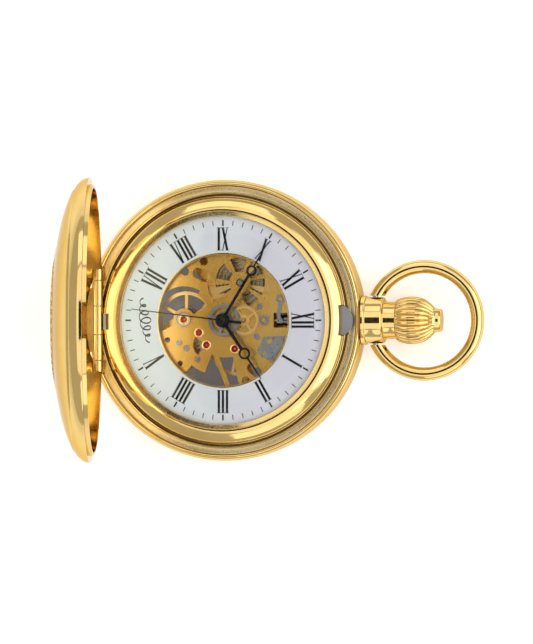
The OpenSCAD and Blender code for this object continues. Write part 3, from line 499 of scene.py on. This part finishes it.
def band_profile(angle):
    """Case middle; its rim is cut away behind the hinge."""
    points = [
        (19.4, 2.65), (20.4, 2.65), (20.4, 1.8), (21.4, 1.8), (21.4, 2.65), (24.85, 2.65),
        (25.0, 3.6), (25.0, 6.4), (24.95, 6.9), (24.8, 7.35), (24.4, 7.75), (24.1, 7.75),
        (GROOVE_OUT_R, 7.5), (GROOVE_OUT_R, GROOVE_Z), (GROOVE_IN_R, GROOVE_Z),
        (GROOVE_IN_R, 6.85), (22.45, 6.85), (22.42, FOOT_GROOVE_Z), (22.1, FOOT_GROOVE_Z),
        (22.1, 7.2), (19.4, 7.2),
    ]
    rounded = fillet(points, 0.12)
    if abs(angle - HINGE_AT) < HINGE_CUT_HALF:
        rounded = [(r, min(z, GROOVE_Z) if r > HINGE_CUT_R else z) for r, z in rounded]
    return rounded


def within(r, z, area):
    """Whether a radius and a height both lie inside an area's ranges."""
    (r0, r1), (z0, z1) = area
    return r0 < r < r1 and z0 < z < z1


band = finish_mesh("case_band_visual", *turned(band_profile, BAND_ANGLES))
piece(band, "case", "case_gold", BAND_GOLDS, "case_band")
for polygon in band.data.polygons:
    middle = polygon.center / MM
    r = math.hypot(middle.x, middle.y)
    if within(r, middle.z, GROOVE_FLOOR):
        polygon.material_index = BAND_GOLDS.index(GROOVE_GOLD)
    elif within(r, middle.z, FOOT_GROOVE) or within(r, middle.z, GROOVE_INNER_WALL):
        polygon.material_index = BAND_GOLDS.index(SHADED_GOLD)

BACK_BEZEL = fillet(
    [
        (18.6, 0.5), (19.2, 0.0), (22.6, 0.0), (23.6, 0.4), (24.2, 0.9), (24.65, 1.5),
        (24.85, 2.2), (24.85, 2.6), (21.5, 2.6), (21.5, 1.7), (20.0, 1.7), (20.0, 0.5),
    ],
    0.1,
)
back_bezel = finish_mesh("back_bezel_visual", *ring(BACK_BEZEL, circle_angles(360)))
piece(back_bezel, "case", "case_gold", [GOLD], "back_bezel")

# Slots in the front bezel for the catch and the lift spring: half width at the bezel's
# edge, the same as an angle, and the radius that each slot reaches in to
SLOT_MOUTH_R = 21.5
CATCH_SLOT_X = 2.7
CATCH_SLOT_HALF = math.degrees(math.asin(CATCH_SLOT_X / SLOT_MOUTH_R))
CATCH_SLOT_R = 21.1
SPRING_SLOT_X = 1.6
SPRING_SLOT_HALF = math.degrees(math.asin(SPRING_SLOT_X / SLOT_MOUTH_R))
SPRING_SLOT_R = 20.7
BEZEL_ANGLES = circle_angles(
    360, notch_edges(CATCH_AT, CATCH_SLOT_HALF) + notch_edges(SPRING_AT, SPRING_SLOT_HALF)
)
FRONT_BEZEL = fillet(
    [
        (18.5, 7.95), (19.6, 7.95), (19.6, 7.25), (22.0, 7.25), (22.0, 7.72), (21.6, 8.18),
        (21.2, 8.52), (20.75, 8.83), (20.3, 9.07), (19.8, 9.26), (19.42, 9.28), (19.4, 8.72),
        (18.55, 8.68),
    ],
    0.07,
)


def bezel_profile(angle):
    """Front bezel: a broad slope with a bead inside, cut for the catch and the spring."""
    if abs(angle - CATCH_AT) < CATCH_SLOT_HALF:
        return [(min(r, CATCH_SLOT_R), z) for r, z in FRONT_BEZEL]
    if abs(angle - SPRING_AT) < SPRING_SLOT_HALF:
        return [(min(r, SPRING_SLOT_R), z) for r, z in FRONT_BEZEL]
    return FRONT_BEZEL


bezel = finish_mesh("front_bezel_visual", *turned(bezel_profile, BEZEL_ANGLES))
piece(bezel, "case", "case_gold", [GOLD], "front_bezel")

FRONT_GLASS = [
    (0, 10.0), (6, 9.95), (12, 9.75), (15.5, 9.5), (17.3, 9.3), (17.9, 8.76), (19.34, 8.76),
    (19.34, 9.12), (19.1, 9.4), (18.7, 9.66), (18, 9.85), (17, 10.0), (15, 10.18),
    (12, 10.35), (9, 10.47), (6, 10.55), (3, 10.59), (0, 10.6),
]
glass = finish_mesh(
    "front_crystal_visual", *solid_of_revolution(FRONT_GLASS, circle_angles(240)), crease=50
)
piece(glass, "case", "crystal", [CRYSTAL], "front_crystal")

BACK_GLASS = [
    (0, 0.5), (10, 0.5), (19.5, 0.5), (19.6, 0.6),
    (19.6, 1.3), (19.5, 1.4), (10, 1.4), (0, 1.4),
]
back_glass = finish_mesh(
    "back_crystal_visual", *solid_of_revolution(BACK_GLASS, circle_angles(240))
)
piece(back_glass, "case", "crystal", [SHADE_TINT_CRYSTAL], "back_crystal")


# ---------------------------------------------------------------- front cover

DOME_ROWS = 130
INSIDE_ROWS = DOME_ROWS // 2

# Fine step cut round the dome near its edge
STEP_R = 23.3
STEP_DEPTH = 0.3
STEP_WIDTH = 0.16

# Raised ornament in the middle of the dome
ORNAMENT_LIFT = 0.3
ORNAMENT_R = 14
LEAVES = 22
WREATH_R = 9.6
PETALS = 8
PETAL_FOOT_R = 1.3
BUTTON_R = 1.5

# Half angles, in degrees, of the gaps in the cover's lip at the hinge and at the catch
HINGE_NOTCH = 23.3
CATCH_NOTCH = 7.4
COVER_ANGLES = circle_angles(
    480, notch_edges(HINGE_AT, HINGE_NOTCH) + notch_edges(CATCH_AT, CATCH_NOTCH)
)

# Rim and lip of the closed cover, with heights from its foot, and the same at the catch
COVER_LIP = [
    (COVER_R - 0.04, 0.02), (24.3, 0.0), (23.64, 0.0), (23.6, -0.7), (23.1, -0.7),
    (23.0, -0.6), (23.0, 0.5),
]
CATCH_LIP = [
    (COVER_R - 0.04, 0.02), (24.3, 0.0), (23.66, 0.0), (23.62, 0.1), (23.6, 0.46),
    (23.5, 0.5), (23.0, 0.5),
]

# Parts of the cover that get another gold: its inside, a paler gold of its own, and the ornament's
# ground, a dark gold that is painted shade
INSIDE_R = 22.9
INSIDE_DROP = 0.35
GROUND_R = 12.4
GROUND_HEIGHT = 0.12
COVER_GOLDS = [GOLD, INNER_GOLD, GROUND_SHADE_GOLD]


def dome_height(r, radius, height):
    """Height of a dome of the given radius and height, at r from its axis."""
    return height * max(0.0, 1 - (r / radius) ** DOME_POWER) ** (1 / DOME_POWER)


def leaf(x, y, length, width):
    """Height from 0 to 1 of a pointed leaf that lies along x from 0 to length."""
    if not 0 < x < length:
        return 0.0
    half = width * math.sin(math.pi * (x / length) ** 0.8) ** 0.9 / 2
    if half < 1e-6 or abs(y) >= half:
        return 0.0
    body = smooth_step((1 - abs(y) / half) * 2.2)
    vein = 1 - 0.45 * ridge(y, 0, 0.12)
    return body * vein


def share_of_turn(angle, count, shift=0.0):
    """Place between two of count equal steps round a circle, from -0.5 to 0.5."""
    return (angle * count / (2 * math.pi) + shift) % 1.0 - 0.5


def ornament(x, y):
    """Height from 0 to 1 of a wreath of leaves round a rosette, with two rings outside."""
    r, a = math.hypot(x, y), math.atan2(y, x)
    height = 0.35 * ridge(r, 12.6, 0.22) + 0.25 * ridge(r, 13.3, 0.15)
    for side in (-1, 1):
        stem_r = WREATH_R + side * 0.15
        for shift in (0, 0.5):
            turn = share_of_turn(a, LEAVES, shift)
            along = turn * 2 * math.pi / LEAVES * stem_r + 1.1
            across = (r - stem_r) * side - 0.55 * along
            height = max(height, 0.9 * leaf(along, across, 2.4, 1.0))
    swing = share_of_turn(a, PETALS) * 2 * math.pi / PETALS
    height = max(height, leaf(r - PETAL_FOOT_R, swing * r, 4.9, 2.4))
    if r < BUTTON_R:
        height = max(height, 0.9 * smooth_step((BUTTON_R - r) / 0.5))
    return height


def about_hinge(x, y, z, angle):
    """A point turned about the hinge."""
    c, s = math.cos(angle), math.sin(angle)
    dy, dz = y - HINGE_Y, z - HINGE_Z
    return (x, HINGE_Y + dy * c - dz * s, HINGE_Z + dy * s + dz * c)


def cover_point(x, y, z):
    """The open place of a point of the closed cover."""
    return about_hinge(x, y, z, COVER_OPEN)


def edge_radius(angle, inset):
    """Distance from the axis to the cover's edge, flattened along the hinge."""
    s = -math.sin(math.radians(angle))
    limit = COVER_R - inset
    if s > 0.5:
        limit = min(limit, (-HINGE_WALL_Y - inset) / s)
    return limit


def cover_column(angle):
    """Profile of the closed cover at an angle: over the dome, round the rim, back inside."""
    c, s = math.cos(math.radians(angle)), math.sin(math.radians(angle))
    at_hinge = abs(angle - HINGE_AT) < HINGE_NOTCH
    at_catch = abs(angle - CATCH_AT) < CATCH_NOTCH
    foot = HINGE_RISE if at_hinge else 0.0
    outer_end, inner_end = edge_radius(angle, 0), edge_radius(angle, COVER_WALL)
    column = []
    for i in range(1, DOME_ROWS + 1):
        r = outer_end * math.sin(math.pi / 2 * i / DOME_ROWS)
        z = max(dome_height(r, COVER_R, COVER_DEPTH), foot)
        lift = ORNAMENT_LIFT * ornament(r * c, r * s) if r < ORNAMENT_R else 0.0
        lift -= STEP_DEPTH * ridge(r, STEP_R, STEP_WIDTH)
        column.append((r, max(z + lift, foot)))
    if at_hinge:
        column += [(outer_end, foot), (outer_end - 0.1, foot)]
        column += 4 * [(inner_end, foot)] + [(inner_end, foot + 0.05)]
    else:
        column += CATCH_LIP if at_catch else COVER_LIP
    start = min(column[-1][0], inner_end)
    for i in range(INSIDE_ROWS, 0, -1):
        r = start * math.sin(math.pi / 2 * i / INSIDE_ROWS)
        z = dome_height(r, COVER_R - COVER_WALL, COVER_DEPTH - COVER_WALL)
        column.append((r, max(z, foot + 0.05)))
    return column


def build_cover():
    """Front cover, open: a thin dome with a flat wall at the hinge and a lip inside."""
    verts = []
    for a in COVER_ANGLES:
        column = cover_column(a)
        verts += [cover_point(x, y, COVER_Z + z) for x, y, z in around(column, a)]
    rows = len(column)
    faces = grid_faces(len(COVER_ANGLES), rows, True, False)
    top = cover_point(0, 0, COVER_Z + COVER_DEPTH + ORNAMENT_LIFT * 0.9)
    under = cover_point(0, 0, COVER_Z + COVER_DEPTH - COVER_WALL)
    close_ends(verts, faces, len(COVER_ANGLES), rows, top, under)
    return finish_mesh("front_cover_visual", verts, faces, crease=40)


cover = build_cover()
piece(cover, "cover", "cover_gold", COVER_GOLDS, "front_cover")
for polygon in cover.data.polygons:
    x, y, z = about_hinge(*(polygon.center / MM), -COVER_OPEN)
    r = math.hypot(x, y)
    dome_z = COVER_Z + dome_height(min(r, COVER_R), COVER_R, COVER_DEPTH)
    if r < INSIDE_R and z < dome_z - INSIDE_DROP:
        polygon.material_index = COVER_GOLDS.index(INNER_GOLD)
    elif r < GROUND_R and ornament(x, y) < GROUND_HEIGHT:
        polygon.material_index = COVER_GOLDS.index(GROUND_SHADE_GOLD)

# Hinge knuckles, from one end to the other along the pin, and the strips they stand on
COVER_KNUCKLES = ((-9.7, -7.2), (-2.5, 2.5), (7.2, 9.7))
CASE_KNUCKLES = ((-7.1, -2.6), (2.6, 7.1))
COVER_KNUCKLE_BORE = 0.4
CASE_KNUCKLE_BORE = 0.38


def knuckle(bore, x0, x1):
    """Tube round the hinge pin with softened ends."""
    profile = fillet([(bore, x0), (KNUCKLE_R, x0), (KNUCKLE_R, x1), (bore, x1)], 0.08)
    verts, faces = ring(profile, circle_angles(48))
    return along_x(verts, HINGE_Y, HINGE_Z), faces


cover_knuckle_parts = []
for x0, x1 in COVER_KNUCKLES:
    strip = block((x0, HINGE_WALL_Y, HINGE_Z + 0.3), (x1, -23.1, HINGE_Z + 0.95))
    for verts, faces in (knuckle(COVER_KNUCKLE_BORE, x0, x1), strip):
        cover_knuckle_parts.append(([cover_point(*v) for v in verts], faces))
cover_knuckles = finish_mesh("cover_knuckles", *join(cover_knuckle_parts))
piece(cover_knuckles, "cover", "cover_gold", [GOLD])

case_knuckle_parts = []
for x0, x1 in CASE_KNUCKLES:
    case_knuckle_parts.append(knuckle(CASE_KNUCKLE_BORE, x0, x1))
    case_knuckle_parts.append(block((x0, -23.2, 6.4), (x1, -22.1, 7.1)))
case_knuckles = finish_mesh("case_knuckles", *join(case_knuckle_parts))
piece(case_knuckles, "case", "case_gold", [GOLD])


# ---------------------------------------------------------------- pendant, crown and bow
# Drawn round the stem's line; h is the distance from the watch's axis along it.

PENDANT_R = 4.38
STEM_BORE_R = 1.1
SADDLE_R = 25.03


def saddle_height(r, angle):
    """Where a line along the stem, r from its middle, meets the round case."""
    return math.sqrt(SADDLE_R**2 - (r * math.cos(math.radians(angle))) ** 2)


def pendant_mesh():
    """Barrel and neck of the pendant, saddled to the round case."""
    outline = fillet(
        [
            (PENDANT_R, 25.1), (PENDANT_R, 25.42), (4.08, 25.6), (4.12, 27.0), (4.08, 28.45),
            (3.9, 28.65), (3.32, 28.72), (3.3, 30.0), (3.32, 31.4), (STEM_BORE_R, 31.4),
        ],
        0.12, closed=False,
    )
    verts, angles = [], circle_angles(160)
    for a in angles:
        foot = saddle_height(PENDANT_R, a)
        column = [(STEM_BORE_R, saddle_height(STEM_BORE_R, a)), (PENDANT_R, foot)]
        column += [(r, max(h, foot)) for r, h in outline]
        verts += around(column, a)
    faces = grid_faces(len(angles), len(column), True, True)
    return finish_mesh("pendant_visual", along_y(verts), faces)


piece(pendant_mesh(), "case", "case_gold", [GOLD], "pendant")

CROWN_FLUTES = 24
FLUTE_DEPTH = 0.42
CROWN_TOP = 39.0
CROWN_RECESS = 32.3


def crown_mesh():
    """Onion crown with rounded flutes and a plain button; its recess takes the neck."""
    recess = [(3.44, CROWN_RECESS), (3.45, 31.1)]
    skin = [
        (3.5, 30.9), (3.64, 30.92), (3.78, 31.15), (3.98, 31.7), (4.14, 32.4), (4.23, 33.0),
        (4.25, 33.7), (4.19, 34.4), (4.04, 35.1), (3.78, 35.8), (3.42, 36.4), (2.98, 36.95),
        (2.5, 37.4), (2.18, 37.7), (2.07, 37.95), (2.05, 38.3), (2.03, 38.72), (1.85, 38.93),
        (1.2, CROWN_TOP),
    ]
    verts, angles = [], circle_angles(CROWN_FLUTES * 14)
    for a in angles:
        groove = (1 - abs(math.sin(math.radians(a * CROWN_FLUTES / 2)))) ** 1.6
        column = list(recess)
        for r, h in skin:
            fade = smooth_step((h - 31.0) / 0.8) * smooth_step((37.75 - h) / 0.7)
            column.append((r - FLUTE_DEPTH * groove * fade, h))
        verts += around(column, a)
    faces = grid_faces(len(angles), len(column), True, False)
    close_ends(verts, faces, len(angles), len(column), (0, 0, CROWN_RECESS), (0, 0, CROWN_TOP))
    return finish_mesh("crown_visual", along_y(verts), faces, crease=60)


piece(crown_mesh(), "crown", "crown_gold", [GOLD], "crown")

BOW_END_X = 4.35
BOW_STEPS = 260
BOW_SIDES = 40


def bow_mesh():
    """Round wire ring whose flat ends lie beside the pendant, on the pivot pins."""
    verts = []
    for i in range(BOW_STEPS + 1):
        for k in range(BOW_SIDES):
            b = 2 * math.pi * k / BOW_SIDES
            r = BOW_R + BOW_WIRE_R * math.cos(b)
            gap = math.asin(BOW_END_X / r)
            a = -math.pi / 2 + gap + (2 * math.pi - 2 * gap) * i / BOW_STEPS
            x, y = r * math.cos(a), BOW_CENTRE_Y + r * math.sin(a)
            verts.append((x, y, STEM_Z + BOW_WIRE_R * math.sin(b)))
    faces = grid_faces(BOW_STEPS + 1, BOW_SIDES, False, True)
    faces.append(tuple(range(BOW_SIDES - 1, -1, -1)))
    faces.append(tuple(range(BOW_STEPS * BOW_SIDES, (BOW_STEPS + 1) * BOW_SIDES)))
    return finish_mesh("bow_visual", verts, faces, crease=50)


piece(bow_mesh(), "bow", "case_gold", [GOLD], "bow")


# ---------------------------------------------------------------- dial

# Height of the print, and the step between strokes that cross
PRINT_Z = DIAL_TOP + 0.012
STROKE_STEP = 0.002

DIAL_PROFILE = fillet(
    [(DIAL_BORE_R, DIAL_UNDER), (DIAL_R, DIAL_UNDER), (DIAL_R, DIAL_TOP), (DIAL_BORE_R, DIAL_TOP)],
    0.04,
)
dial = finish_mesh("dial_visual", *ring(DIAL_PROFILE, circle_angles(300)))
piece(dial, "case", "dial_enamel", [DIAL], "dial")

DIAL_RIM = fillet(
    [
        (APERTURE_R, DIAL_UNDER), (APERTURE_RIM_R, DIAL_UNDER),
        (APERTURE_RIM_R, APERTURE_RIM_TOP), (APERTURE_R, APERTURE_RIM_TOP),
    ],
    0.06,
)
dial_rim = finish_mesh("dial_rim", *ring(DIAL_RIM, circle_angles(300)))
piece(dial_rim, "case", "case_gold", [GOLD])

# Hour numerals, which stand upright along the dial's radii; 6 is left out
NUMERALS = {
    12: "XII", 1: "I", 2: "II", 3: "III", 4: "IIII", 5: "V",
    7: "VII", 8: "VIII", 9: "IX", 10: "X", 11: "XI",
}
NUMERAL_IN = 12.4
NUMERAL_OUT = 16.5
THICK = 0.43
THIN = 0.18
SERIF = 0.09
SERIF_SHARE = SERIF / (NUMERAL_OUT - NUMERAL_IN)
ADVANCE = {"I": 0.74, "V": 1.45, "X": 1.5}


def slanted(x0, x1, width):
    """Stroke from (x0, top) to (x1, bottom)."""
    h = width / 2
    return [(x1 - h, 0.0), (x1 + h, 0.0), (x0 + h, 1.0), (x0 - h, 1.0)]


def foot_serif(x, half):
    """Thin bar at the bottom of a letter."""
    return [(x - half, 0.0), (x + half, 0.0), (x + half, SERIF_SHARE), (x - half, SERIF_SHARE)]


def top_serif(x, half):
    """Thin bar at the top of a letter."""
    low = 1 - SERIF_SHARE
    return [(x - half, low), (x + half, low), (x + half, 1.0), (x - half, 1.0)]


def glyph(letter):
    """Strokes of a letter as (outline, layer): millimetres across, 0 to 1 up."""
    if letter == "I":
        return [(slanted(0, 0, THICK), 0), (foot_serif(0, 0.37), 1), (top_serif(0, 0.37), 1)]
    if letter == "V":
        return [
            (slanted(-0.42, 0.02, THICK), 0), (slanted(0.45, 0.08, THIN), 2),
            (top_serif(-0.42, 0.36), 1), (top_serif(0.45, 0.26), 1),
        ]
    return [
        (slanted(-0.40, 0.42, THICK), 0), (slanted(0.42, -0.42, THIN), 2),
        (top_serif(-0.40, 0.33), 1), (top_serif(0.42, 0.26), 1),
        (foot_serif(0.42, 0.33), 1), (foot_serif(-0.42, 0.26), 1),
    ]


def on_dial(x, r, clock_angle):
    """Point at x to the clockwise side of a radial line and r from the centre."""
    a = math.radians(clock_angle)
    return (r * math.sin(a) + x * math.cos(a), r * math.cos(a) - x * math.sin(a))


def numeral_parts(text, clock_angle):
    """Prisms of a numeral's strokes, side by side about its hour line."""
    x = -sum(ADVANCE[letter] for letter in text) / 2
    parts = []
    for letter in text:
        middle = x + ADVANCE[letter] / 2
        for outline, layer in glyph(letter):
            points = [
                on_dial(middle + px, NUMERAL_IN + py * (NUMERAL_OUT - NUMERAL_IN), clock_angle)
                for px, py in outline
            ]
            parts.append(prism(points, DIAL_TOP, PRINT_Z + STROKE_STEP * layer))
        x += ADVANCE[letter]
    return parts


numeral_meshes = []
for hour, text in NUMERALS.items():
    numeral_meshes += numeral_parts(text, hour * 30)
numerals = finish_mesh("dial_numerals", *join(numeral_meshes))
piece(numerals, "case", "hand_black", [BLACK])

# Half width, inner radius and outer radius of the strokes of the minute track
HOUR_TICK = (0.15, 16.75, 17.8)
MINUTE_TICK = (0.08, 16.85, 17.75)

tick_meshes = []
for minute in range(60):
    half, r0, r1 = HOUR_TICK if minute % 5 == 0 else MINUTE_TICK
    corners = ((-half, r0), (half, r0), (half, r1), (-half, r1))
    outline = [on_dial(x, r, minute * 6) for x, r in corners]
    tick_meshes.append(prism(outline, DIAL_TOP, PRINT_Z))
ticks = finish_mesh("minute_ticks", *join(tick_meshes))
piece(ticks, "case", "hand_black", [BLACK])

SCROLL_Y = -14.2
SCROLL_HALF = 3.9
SCROLL_LOOPS = 6
SCROLL_STEPS = 150


def flourish():
    """Calligraphic scroll at 6 o'clock: loops that shrink from the middle to both ends."""
    line = []
    for i in range(SCROLL_STEPS + 1):
        t = i / SCROLL_STEPS * 2 - 1
        size = 1.15 - 0.85 * abs(t)
        x = SCROLL_HALF * t - 0.75 * size * math.sin(t * SCROLL_LOOPS * math.pi)
        y = 0.95 * size * math.cos(t * SCROLL_LOOPS * math.pi) + 0.6 * t
        line.append((x, y))
    left, right = [], []
    for i, (x, y) in enumerate(line):
        before, after = line[max(i - 1, 0)], line[min(i + 1, SCROLL_STEPS)]
        dx, dy = after[0] - before[0], after[1] - before[1]
        length = math.hypot(dx, dy)
        half = 0.05 + 0.08 * abs(dy) / length
        left.append((x - dy / length * half, y + dx / length * half))
        right.append((x + dy / length * half, y - dx / length * half))
    verts = []
    for side in (left, right):
        for z in (DIAL_TOP, PRINT_Z):
            verts += [(x, SCROLL_Y + y, z) for x, y in side]
    n, last = SCROLL_STEPS + 1, SCROLL_STEPS
    faces = []
    for i in range(SCROLL_STEPS):
        j = i + 1
        faces.append((n + i, n + j, 3 * n + j, 3 * n + i))
        faces.append((j, i, 2 * n + i, 2 * n + j))
        faces.append((i, j, n + j, n + i))
        faces.append((2 * n + j, 2 * n + i, 3 * n + i, 3 * n + j))
    faces.append((0, n, 3 * n, 2 * n))
    faces.append((last, 2 * n + last, 3 * n + last, n + last))
    return finish_mesh("dial_flourish", verts, faces)


piece(flourish(), "case", "hand_black", [BLACK])


# ---------------------------------------------------------------- small trims

HUB_CAP = fillet(
    [(0, 8.95), (0.52, 8.95), (0.52, 9.1), (0.34, 9.22), (0, 9.27)], 0.06, closed=False
)
hub_cap = finish_mesh("hub_cap", *solid_of_revolution(HUB_CAP, circle_angles(40)))
piece(hub_cap, "seconds", "hand_black", [BLACK])

# Centre of each dial-side jewel and the height of its setting
BALANCE_SEAT = (-0.16, -7.39, 6.8)
JEWEL_SEATS = ((5.074, 1.847, 6.45), (4.392, -3.31, 6.45), (2.18, -4.68, 6.45), BALANCE_SEAT)
JEWEL_RIM = fillet(
    [(0.59, 0.0), (0.86, 0.0), (0.86, 0.13), (0.74, 0.18), (0.62, 0.12), (0.59, 0.05)], 0.03
)
rim_verts, rim_faces = ring(JEWEL_RIM, circle_angles(48))
jewel_rims = finish_mesh(
    "jewel_rims", *join([(moved(rim_verts, *seat), rim_faces) for seat in JEWEL_SEATS])
)
piece(jewel_rims, "case", "case_gold", [GOLD])

SHOCK_RING = fillet([(1.12, 6.85), (1.4, 6.85), (1.4, 6.97), (1.12, 6.97)], 0.03)
shock_verts, shock_faces = ring(SHOCK_RING, circle_angles(64))
shock_ring = finish_mesh("shock_ring", moved(shock_verts, *BALANCE_SEAT[:2]), shock_faces)
piece(shock_ring, "case", "polished_steel", [POLISHED_STEEL])


# ---------------------------------------------------------------- CAD nodes that stay

node_slots = {row["node"]: row["material_slot"] for row in frame["record"]["subparts"]}

# Widths of the polished bevels on the edges of plates, bridges and levers
BEVEL_WIDTH = {
    "main_plate": 0.13, "barrel_bridge": 0.05, "train_bridge": 0.05, "balance_cock": 0.05,
    "pallet_bridge": 0.04, "setting_bridge": 0.08, "shock_settings": 0.08, "catch": 0.06,
    "yoke": 0.06, "setting_lever": 0.06,
}

for name, obj in frame["nodes"].items():
    if obj.hide_render:
        continue
    material = SLOT_MATERIALS[node_slots[name]]
    if obj.data.materials:
        for index in range(len(obj.data.materials)):
            obj.data.materials[index] = material
    else:
        obj.data.materials.append(material)
    if name in BEVEL_WIDTH:
        bevel = obj.modifiers.new("bevel", "BEVEL")
        bevel.width = BEVEL_WIDTH[name] * MM
        bevel.segments = 1
        bevel.limit_method = "ANGLE"
        bevel.angle_limit = math.radians(50)
        bevel.use_clamp_overlap = False


# ---------------------------------------------------------------- floor, light and camera
# Places and sizes in this section are in metres, and powers in watts.


def stage_plane(name, size, centre, material):
    """Level square that belongs to the studio and not to the watch."""
    h = size / 2
    x, y, z = centre
    corners = [(x - h, y - h, z), (x + h, y - h, z), (x + h, y + h, z), (x - h, y + h, z)]
    mesh = bpy.data.meshes.new(name)
    mesh.from_pydata(corners, [], [(0, 1, 2, 3)])
    obj = bpy.data.objects.new(name, mesh)
    bpy.context.scene.collection.objects.link(obj)
    obj.data.materials.append(material)


# The floor glows a little near the watch, so that its shadow stays soft
FLOOR_GLOW = 0.33
GLOW_FULL_TO = 0.09
GLOW_GONE_AT = 0.28

floor_material = coated("pale_floor", (0.88, 0.88, 0.88), (0.92, 0.92, 0.92), (0.6, 0.7), 5)
floor_nodes, floor_links = floor_material.node_tree.nodes, floor_material.node_tree.links
floor_shader = floor_nodes["Principled BSDF"]
floor_shader.inputs["Emission Color"].default_value = (1, 1, 1, 1)
floor_distance = floor_nodes.new("ShaderNodeVectorMath")
floor_distance.operation = "LENGTH"
floor_links.new(floor_nodes["Texture Coordinate"].outputs["Object"], floor_distance.inputs[0])
distance_out = floor_distance.outputs["Value"]
floor_glow = add_range(
    floor_nodes, floor_links, distance_out, FLOOR_GLOW, 0.0, GLOW_FULL_TO, GLOW_GONE_AT
)
floor_links.new(floor_glow, floor_shader.inputs["Emission Strength"])
stage_plane("floor", 4.0, (0, 0, -0.0002), floor_material)

# Dark card above the camera, which the polished gold mirrors as dark bars
dark_material = coated("dark_card", (0.01, 0.01, 0.01), (0.02, 0.02, 0.02), (0.8, 0.9), 5)
stage_plane("dark_card", 0.5, (0, 0, 0.95), dark_material)

# Camera over the dial with 12 o'clock to the right, leaning towards 12
TILT = math.radians(11.5)
DISTANCE = 0.880
TARGET = Vector((0.30, 7.9, 7.9)) * MM
back = Vector((0, math.sin(TILT), math.cos(TILT)))
right = Vector((0, math.cos(TILT), -math.sin(TILT)))
up = Vector((-1, 0, 0))


camera_data = bpy.data.cameras.new("camera")
camera_data.lens = 277.4
camera_data.clip_start = 0.05
camera_data.clip_end = 20
camera = bpy.data.objects.new("camera", camera_data)
bpy.context.scene.collection.objects.link(camera)
rotation = Matrix((right, up, back)).transposed().to_4x4()
camera.matrix_world = Matrix.Translation(TARGET + back * DISTANCE) @ rotation
bpy.context.scene.camera = camera


def softbox(name, location, size, power):
    """Rectangular light that faces the watch."""
    data = bpy.data.lights.new(name, "AREA")
    data.shape = "RECTANGLE"
    data.size, data.size_y = size
    data.energy = power
    obj = bpy.data.objects.new(name, data)
    obj.location = location
    obj.rotation_mode = "QUATERNION"
    obj.rotation_quaternion = (-Vector(location)).to_track_quat("-Z", "Y")
    bpy.context.scene.collection.objects.link(obj)


softbox("overhead", (0, 0.3, 1.5), (3.0, 3.0), 22)
softbox("beyond_crown", (0, 1.4, 1.0), (2.2, 1.2), 15)
softbox("side_left", (-1.2, -0.2, 0.7), (1.0, 0.7), 2.2)
softbox("side_right", (1.2, 0.3, 0.7), (1.0, 0.7), 2.2)
bpy.context.scene.view_settings.view_transform = "Standard"

world = bpy.data.worlds.new("studio")
world.use_nodes = True
world.node_tree.nodes["Background"].inputs["Color"].default_value = (1.0, 0.95, 0.87, 1)
world.node_tree.nodes["Background"].inputs["Strength"].default_value = 0.6
bpy.context.scene.world = world
